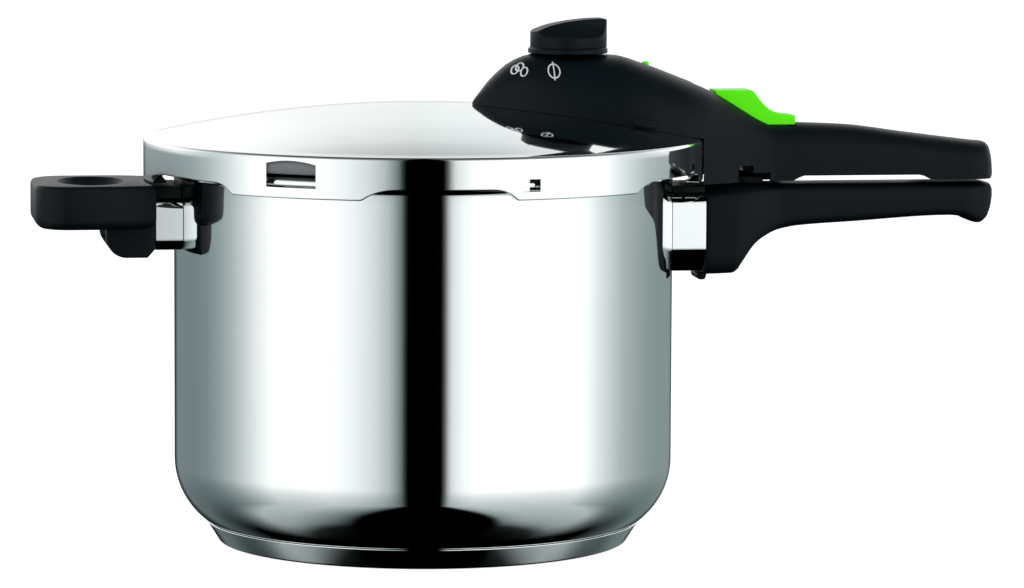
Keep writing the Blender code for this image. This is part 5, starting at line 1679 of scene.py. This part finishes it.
class FrameFinishes:
    """Dresses the frame's own nodes that stay in view or lie hidden inside."""

    finishes: ClassVar[dict[str, Finish]] = {
        Slot.POLISHED.value: MIRROR_STEEL,
        Slot.SATIN.value: SATIN_STEEL,
        Slot.ALUMINIUM.value: BARE_ALUMINIUM,
        Slot.BLACK.value: MOULDED_BLACK,
        Slot.GREEN.value: LIME_PLASTIC,
        Slot.SILICONE.value: GREY_SILICONE,
        Slot.BRASS.value: TURNED_BRASS,
    }

    def build(self) -> None:
        """Gives each node the finish of its slot."""
        slots = {part["node"]: part["material_slot"] for part in frame["record"]["subparts"]}
        for node, thing in frame["nodes"].items():
            thing.data.materials.clear()
            thing.data.materials.append(self.finishes[slots[node]].material())
            log.info("%s keeps its frame shape, finish %s", node, slots[node])


# ---------------------------------------------------------------- studio


@dataclass
class Studio:
    """A pale table, a ring of soft boxes and dark flags, and the camera."""

    camera_place: Spot = (-0.3034, -2.3043, 0.3614)
    heading: float = 8.474
    tilt: float = -6.188
    roll: float = 0.246
    lens: float = 184.8
    aim: Spot = (0.05, 0.0, 0.1)
    lamp_size: float = 1.4
    toward_camera: float = -97.5
    boxes: tuple[tuple[float, Spot], ...] = (
        (-180.0, (0.02, 0.02, 0.02)), (-167.0, (0.03, 0.04, 0.04)), (-158.0, (0.20, 0.25, 0.26)),
        (-131.0, (0.20, 0.25, 0.26)), (-119.0, (0.23, 0.29, 0.30)), (-109.0, (0.31, 0.37, 0.38)),
        (-100.0, (0.44, 0.50, 0.50)), (-91.6, (0.65, 0.70, 0.70)), (-83.8, (0.89, 0.93, 0.93)),
        (-74.0, (1.22, 1.22, 1.22)), (-44.0, (1.25, 1.25, 1.25)), (-32.0, (1.05, 1.07, 1.07)),
        (-26.7, (0.92, 0.95, 0.95)), (-21.0, (0.76, 0.80, 0.80)), (-15.3, (0.53, 0.58, 0.58)),
        (-9.8, (0.17, 0.20, 0.20)), (-8.0, (0.0, 0.0, 0.0)), (9.4, (0.0, 0.0, 0.0)),
        (13.0, (0.84, 0.87, 0.87)), (18.0, (1.10, 1.12, 1.12)), (24.0, (1.28, 1.28, 1.28)),
        (78.0, (1.28, 1.28, 1.28)), (88.0, (0.90, 0.94, 0.94)), (95.6, (0.68, 0.75, 0.75)),
        (104.0, (0.49, 0.55, 0.55)), (114.0, (0.38, 0.44, 0.44)), (125.0, (0.31, 0.37, 0.37)),
        (138.0, (0.27, 0.33, 0.33)), (162.0, (0.25, 0.31, 0.31)), (171.0, (0.04, 0.05, 0.05)),
        (180.0, (0.02, 0.02, 0.02)),
    )
    levels: tuple[Spot, ...] = (
        (-1.0, 0.0, 1.0), (-0.89, 0.0, 1.0), (-0.865, 0.08, 1.15), (-0.84, 0.17, 1.14),
        (-0.80, 0.26, 1.12), (-0.705, 0.34, 1.10), (-0.60, 0.41, 1.08), (-0.48, 0.51, 1.06),
        (-0.36, 0.64, 1.04), (-0.26, 0.80, 1.0), (-0.17, 1.0, 1.0), (0.45, 1.0, 1.0),
        (0.62, 0.55, 1.0), (0.80, 0.16, 1.0), (1.0, 0.10, 1.0),
    )
    paper_heights: tuple[Flat, ...] = (
        (-0.10, 0.0), (-0.083, 0.06), (-0.05, 0.70), (0.0, 0.82), (0.05, 1.0), (0.26, 1.0),
        (0.34, 0.95), (0.42, 0.85), (0.454, 0.72), (0.537, 0.47), (0.60, 0.30), (0.75, 0.10),
        (1.0, 0.0),
    )
    paper_spans: tuple[Flat, ...] = (
        (0.0, 1.0), (0.17, 1.0), (0.26, 0.0), (0.74, 0.0), (0.83, 1.0), (1.0, 1.0),
    )
    paper: tuple[tuple[float, Spot], ...] = (
        (0.0, (0.90, 0.94, 0.93)), (0.007, (1.0, 1.0, 1.0)), (0.017, (1.22, 1.22, 1.22)),
        (0.25, (1.22, 1.22, 1.22)), (0.75, (1.15, 1.15, 1.15)), (0.98, (1.15, 1.15, 1.15)),
        (0.992, (0.97, 1.0, 1.0)), (1.0, (0.92, 0.96, 0.95)),
    )
    flag_low: float = 0.17
    flag_spread_from: float = 0.36
    flag_spread: float = 4.2
    under: Flat = (0.28, 4.0)
    beyond: Flat = (0.58, 5.0)

    def surroundings(self) -> None:
        """Builds the world: soft boxes by compass direction, darker below and at the zenith."""
        world = bpy.data.worlds.new("studio")
        world.use_nodes = True
        bpy.context.scene.world = world
        links = Links(world.node_tree)
        world.node_tree.nodes.clear()
        place = links.add("TexCoord")
        parts = links.add("SeparateXYZ")
        links.join(place.outputs["Generated"], parts.inputs["Vector"])
        up = parts.outputs["Z"]
        height = links.math("ADD", links.math("MULTIPLY", up, 0.5), 0.5)
        depth = links.math("SUBTRACT", links.math("MULTIPLY", up, -1.0), self.flag_low)
        half_turn, share = self.bearing(links, parts, depth)
        ring = self.ramp(links, share, [(0.5 + a / 360.0, colour) for a, colour in self.boxes])
        level = self.ramp(links, height, [
            (0.5 + 0.5 * z, (value, value * tint, value * tint)) for z, value, tint in self.levels])
        level.node.color_ramp.interpolation = "B_SPLINE"
        paper_height = self.ramp(links, height, [
            (0.5 + 0.5 * z, (value,) * 3) for z, value in self.paper_heights])
        paper_span = self.ramp(links, share, [(a, (value,) * 3) for a, value in self.paper_spans])
        shaded = self.blend(links, level, self.low_shade(links, depth, half_turn))
        lit = self.blend(links, ring, shaded)
        whole = links.add("Mix", data_type="RGBA")
        links.join(links.math("MULTIPLY", paper_span, paper_height), whole.inputs["Factor"])
        links.join(lit, whole.inputs["A"])
        links.join(self.ramp(links, share, self.paper), whole.inputs["B"])
        self.send_out(links, whole.outputs["Result"])

    def bearing(
        self, links: Links, parts: bpy.types.Node, depth: bpy.types.NodeSocket
    ) -> tuple[bpy.types.NodeSocket, bpy.types.NodeSocket]:
        """Reads the compass direction from the camera's, with the dark flag spread out below.

        Args:
            links: The world's node tree.
            parts: The node that splits the direction.
            depth: How far the direction points below the flag's lower edge.

        Returns:
            The direction as a share of half a turn, and as a place on the ring's ramp.
        """
        angle = links.math("ARCTAN2", parts.outputs["Y"], parts.outputs["X"])
        degrees = links.math("MULTIPLY", angle, 180.0 / math.pi)
        turned_to = links.math("SUBTRACT", degrees, self.toward_camera)
        around = links.math("WRAP", turned_to, 180.0, -180.0)
        below = links.math("SUBTRACT", depth, self.flag_spread_from)
        power = links.math(
            "MULTIPLY_ADD", links.math("MAXIMUM", below, 0.0), self.flag_spread, 1.0)
        half_turn = links.math("DIVIDE", links.math("ABSOLUTE", around), 180.0)
        narrowed = links.math("MULTIPLY", links.math("POWER", half_turn, power),
                              links.math("SIGN", around))
        return half_turn, links.math("MULTIPLY_ADD", narrowed, 0.5, 0.5)

    def low_shade(
        self, links: Links, depth: bpy.types.NodeSocket, half_turn: bpy.types.NodeSocket
    ) -> bpy.types.NodeSocket:
        """Darkens what lies both below the object and behind it.

        Args:
            links: The world's node tree.
            depth: How far the direction points below the flag's lower edge.
            half_turn: The direction as a share of half a turn.

        Returns:
            What is left of the light there, from 0 to 1.
        """
        shades = []
        for measure, (start, gain) in ((depth, self.under), (half_turn, self.beyond)):
            shade = links.math("MULTIPLY", links.math("SUBTRACT", measure, start), gain)
            shade.node.use_clamp = True
            shades.append(shade)
        return links.math("SUBTRACT", 1.0, links.math("MULTIPLY", *shades))

    def blend(
        self, links: Links, first: bpy.types.NodeSocket, second: bpy.types.NodeSocket
    ) -> bpy.types.NodeSocket:
        """Multiplies two colours."""
        mix = links.add("Mix", data_type="RGBA", blend_type="MULTIPLY")
        mix.inputs["Factor"].default_value = 1.0
        links.join(first, mix.inputs["A"])
        links.join(second, mix.inputs["B"])
        return mix.outputs["Result"]

    def send_out(self, links: Links, colour: bpy.types.NodeSocket) -> None:
        """Shows white paper behind the object, and the studio to everything else.

        Args:
            links: The world's node tree.
            colour: The studio's colour by direction.
        """
        studio = links.add("Background")
        links.join(colour, studio.inputs["Color"])
        paper = links.add("Background")
        paper.inputs["Color"].default_value = (1.0, 1.0, 1.0, 1.0)
        light_path = links.add("LightPath")
        both = links.add("MixShader")
        links.join(light_path.outputs["Is Camera Ray"], both.inputs["Fac"])
        links.join(studio.outputs["Background"], both.inputs[1])
        links.join(paper.outputs["Background"], both.inputs[2])
        links.join(both.outputs["Shader"], links.add("OutputWorld").inputs["Surface"])

    def ramp(
        self, links: Links, place: bpy.types.NodeSocket, stops: Sequence[tuple[float, Spot]]
    ) -> bpy.types.NodeSocket:
        """Adds a colour ramp.

        Args:
            links: The node tree.
            place: Where the ramp is read, from 0 to 1.
            stops: Positions with their colours, in order.

        Returns:
            The colour's socket.
        """
        node = links.add("ValToRGB")
        elements = node.color_ramp.elements
        while len(elements) > 1:
            elements.remove(elements[-1])
        for index, (position, colour) in enumerate(stops):
            element = elements[0] if index == 0 else elements.new(position)
            element.position = position
            element.color = (*colour, 1.0)
        links.join(place, node.inputs["Fac"])
        return node.outputs["Color"]

    def table(self) -> None:
        """Lays a wide pale table with a faint glow of its own."""
        bpy.ops.mesh.primitive_circle_add(vertices=96, radius=30.0, fill_type="NGON",
                                          location=(0.0, 0.0, -0.0002))
        table = named("studio_table")
        made = bpy.data.materials.new("table_paper")
        made.use_nodes = True
        shader = made.node_tree.nodes["Principled BSDF"]
        shader.inputs["Base Color"].default_value = (0.80, 0.80, 0.80, 1.0)
        shader.inputs["Roughness"].default_value = 0.8
        shader.inputs["Emission Color"].default_value = (1.0, 1.0, 1.0, 1.0)
        shader.inputs["Emission Strength"].default_value = 0.70
        table.data.materials.append(made)
        table.visible_glossy = False
        table.visible_diffuse = False

    def camera(self) -> None:
        """Sets the camera up."""
        lens = bpy.data.cameras.new("camera")
        lens.lens = self.lens
        lens.sensor_width = 36.0
        lens.clip_start = 0.05
        lens.clip_end = 100.0
        camera = bpy.data.objects.new("camera", lens)
        bpy.context.scene.collection.objects.link(camera)
        camera.location = self.camera_place
        level = Euler((math.radians(90.0 + self.tilt), 0.0, math.radians(-self.heading)))
        spin = Matrix.Rotation(math.radians(self.roll), 4, "Z")
        camera.rotation_euler = (level.to_matrix().to_4x4() @ spin).to_euler()
        bpy.context.scene.camera = camera

    def lamp(self, name: str, place: Spot, power: float) -> None:
        """Adds a soft lamp that shines at the object's middle.

        Args:
            name: Its name.
            place: Where it hangs.
            power: Its power in watts.
        """
        light = bpy.data.lights.new(name, "AREA")
        light.size = self.lamp_size
        light.energy = power
        lamp = bpy.data.objects.new(name, light)
        bpy.context.scene.collection.objects.link(lamp)
        lamp.location = place
        lamp.visible_glossy = False
        aim = Vector(self.aim) - Vector(place)
        lamp.rotation_euler = aim.to_track_quat("-Z", "Y").to_euler()

    def build(self) -> None:
        """Sets the studio up."""
        self.surroundings()
        self.table()
        self.camera()
        self.lamp("key_light", (-1.1, -1.5, 1.9), 18.0)
        self.lamp("fill_light", (1.4, -1.2, 1.4), 9.0)
        bpy.context.scene.view_settings.view_transform = "Standard"


def main() -> None:
    """Builds every sub-assembly in order, then the studio."""
    logging.basicConfig(level=logging.INFO, format="%(name)s: %(message)s")
    FrameFinishes().build()
    pot = PotVessel()
    lid = Lid()
    pot.build()
    CapsuleBase(pot).build()
    FlameGuard("pot_sleeve", "pot_flame_guard", 1.0, pot.radius, 10.2 * MM, 1.5 * MM).build()
    FlameGuard("helper_sleeve", "helper_flame_guard", -1.0, pot.radius, 4.0 * MM, 1.2 * MM).build()
    PotHandle().build()
    HelperHandle().build()
    RootTongue("pot_handle_tongue", "pot_flame_guard", 1.0, pot.radius, 3.4 * MM, 15.5 * MM).build()
    RootTongue("helper_tongue", "helper_flame_guard", -1.0, pot.radius, 5.1 * MM, 19.0 * MM).build()
    LockKeeper().build()
    lid.build()
    Gasket().build()
    LidHandle(lid).build()
    Dial().build()
    LockSlider().build()
    Indicator().build()
    Pictograms().build()
    for node, body, sunk in (
        ("pot_handle_screw", Body.POT, 0.0), ("helper_handle_screw", Body.POT, 0.0),
        ("lid_handle_screw_front", Body.LID, 0.0), ("lid_handle_screw_rear", Body.LID, 2.4 * MM),
    ):
        HandleScrew(node, body, sunk).build()
    Studio().build()


if __name__ == "__main__":
    main()
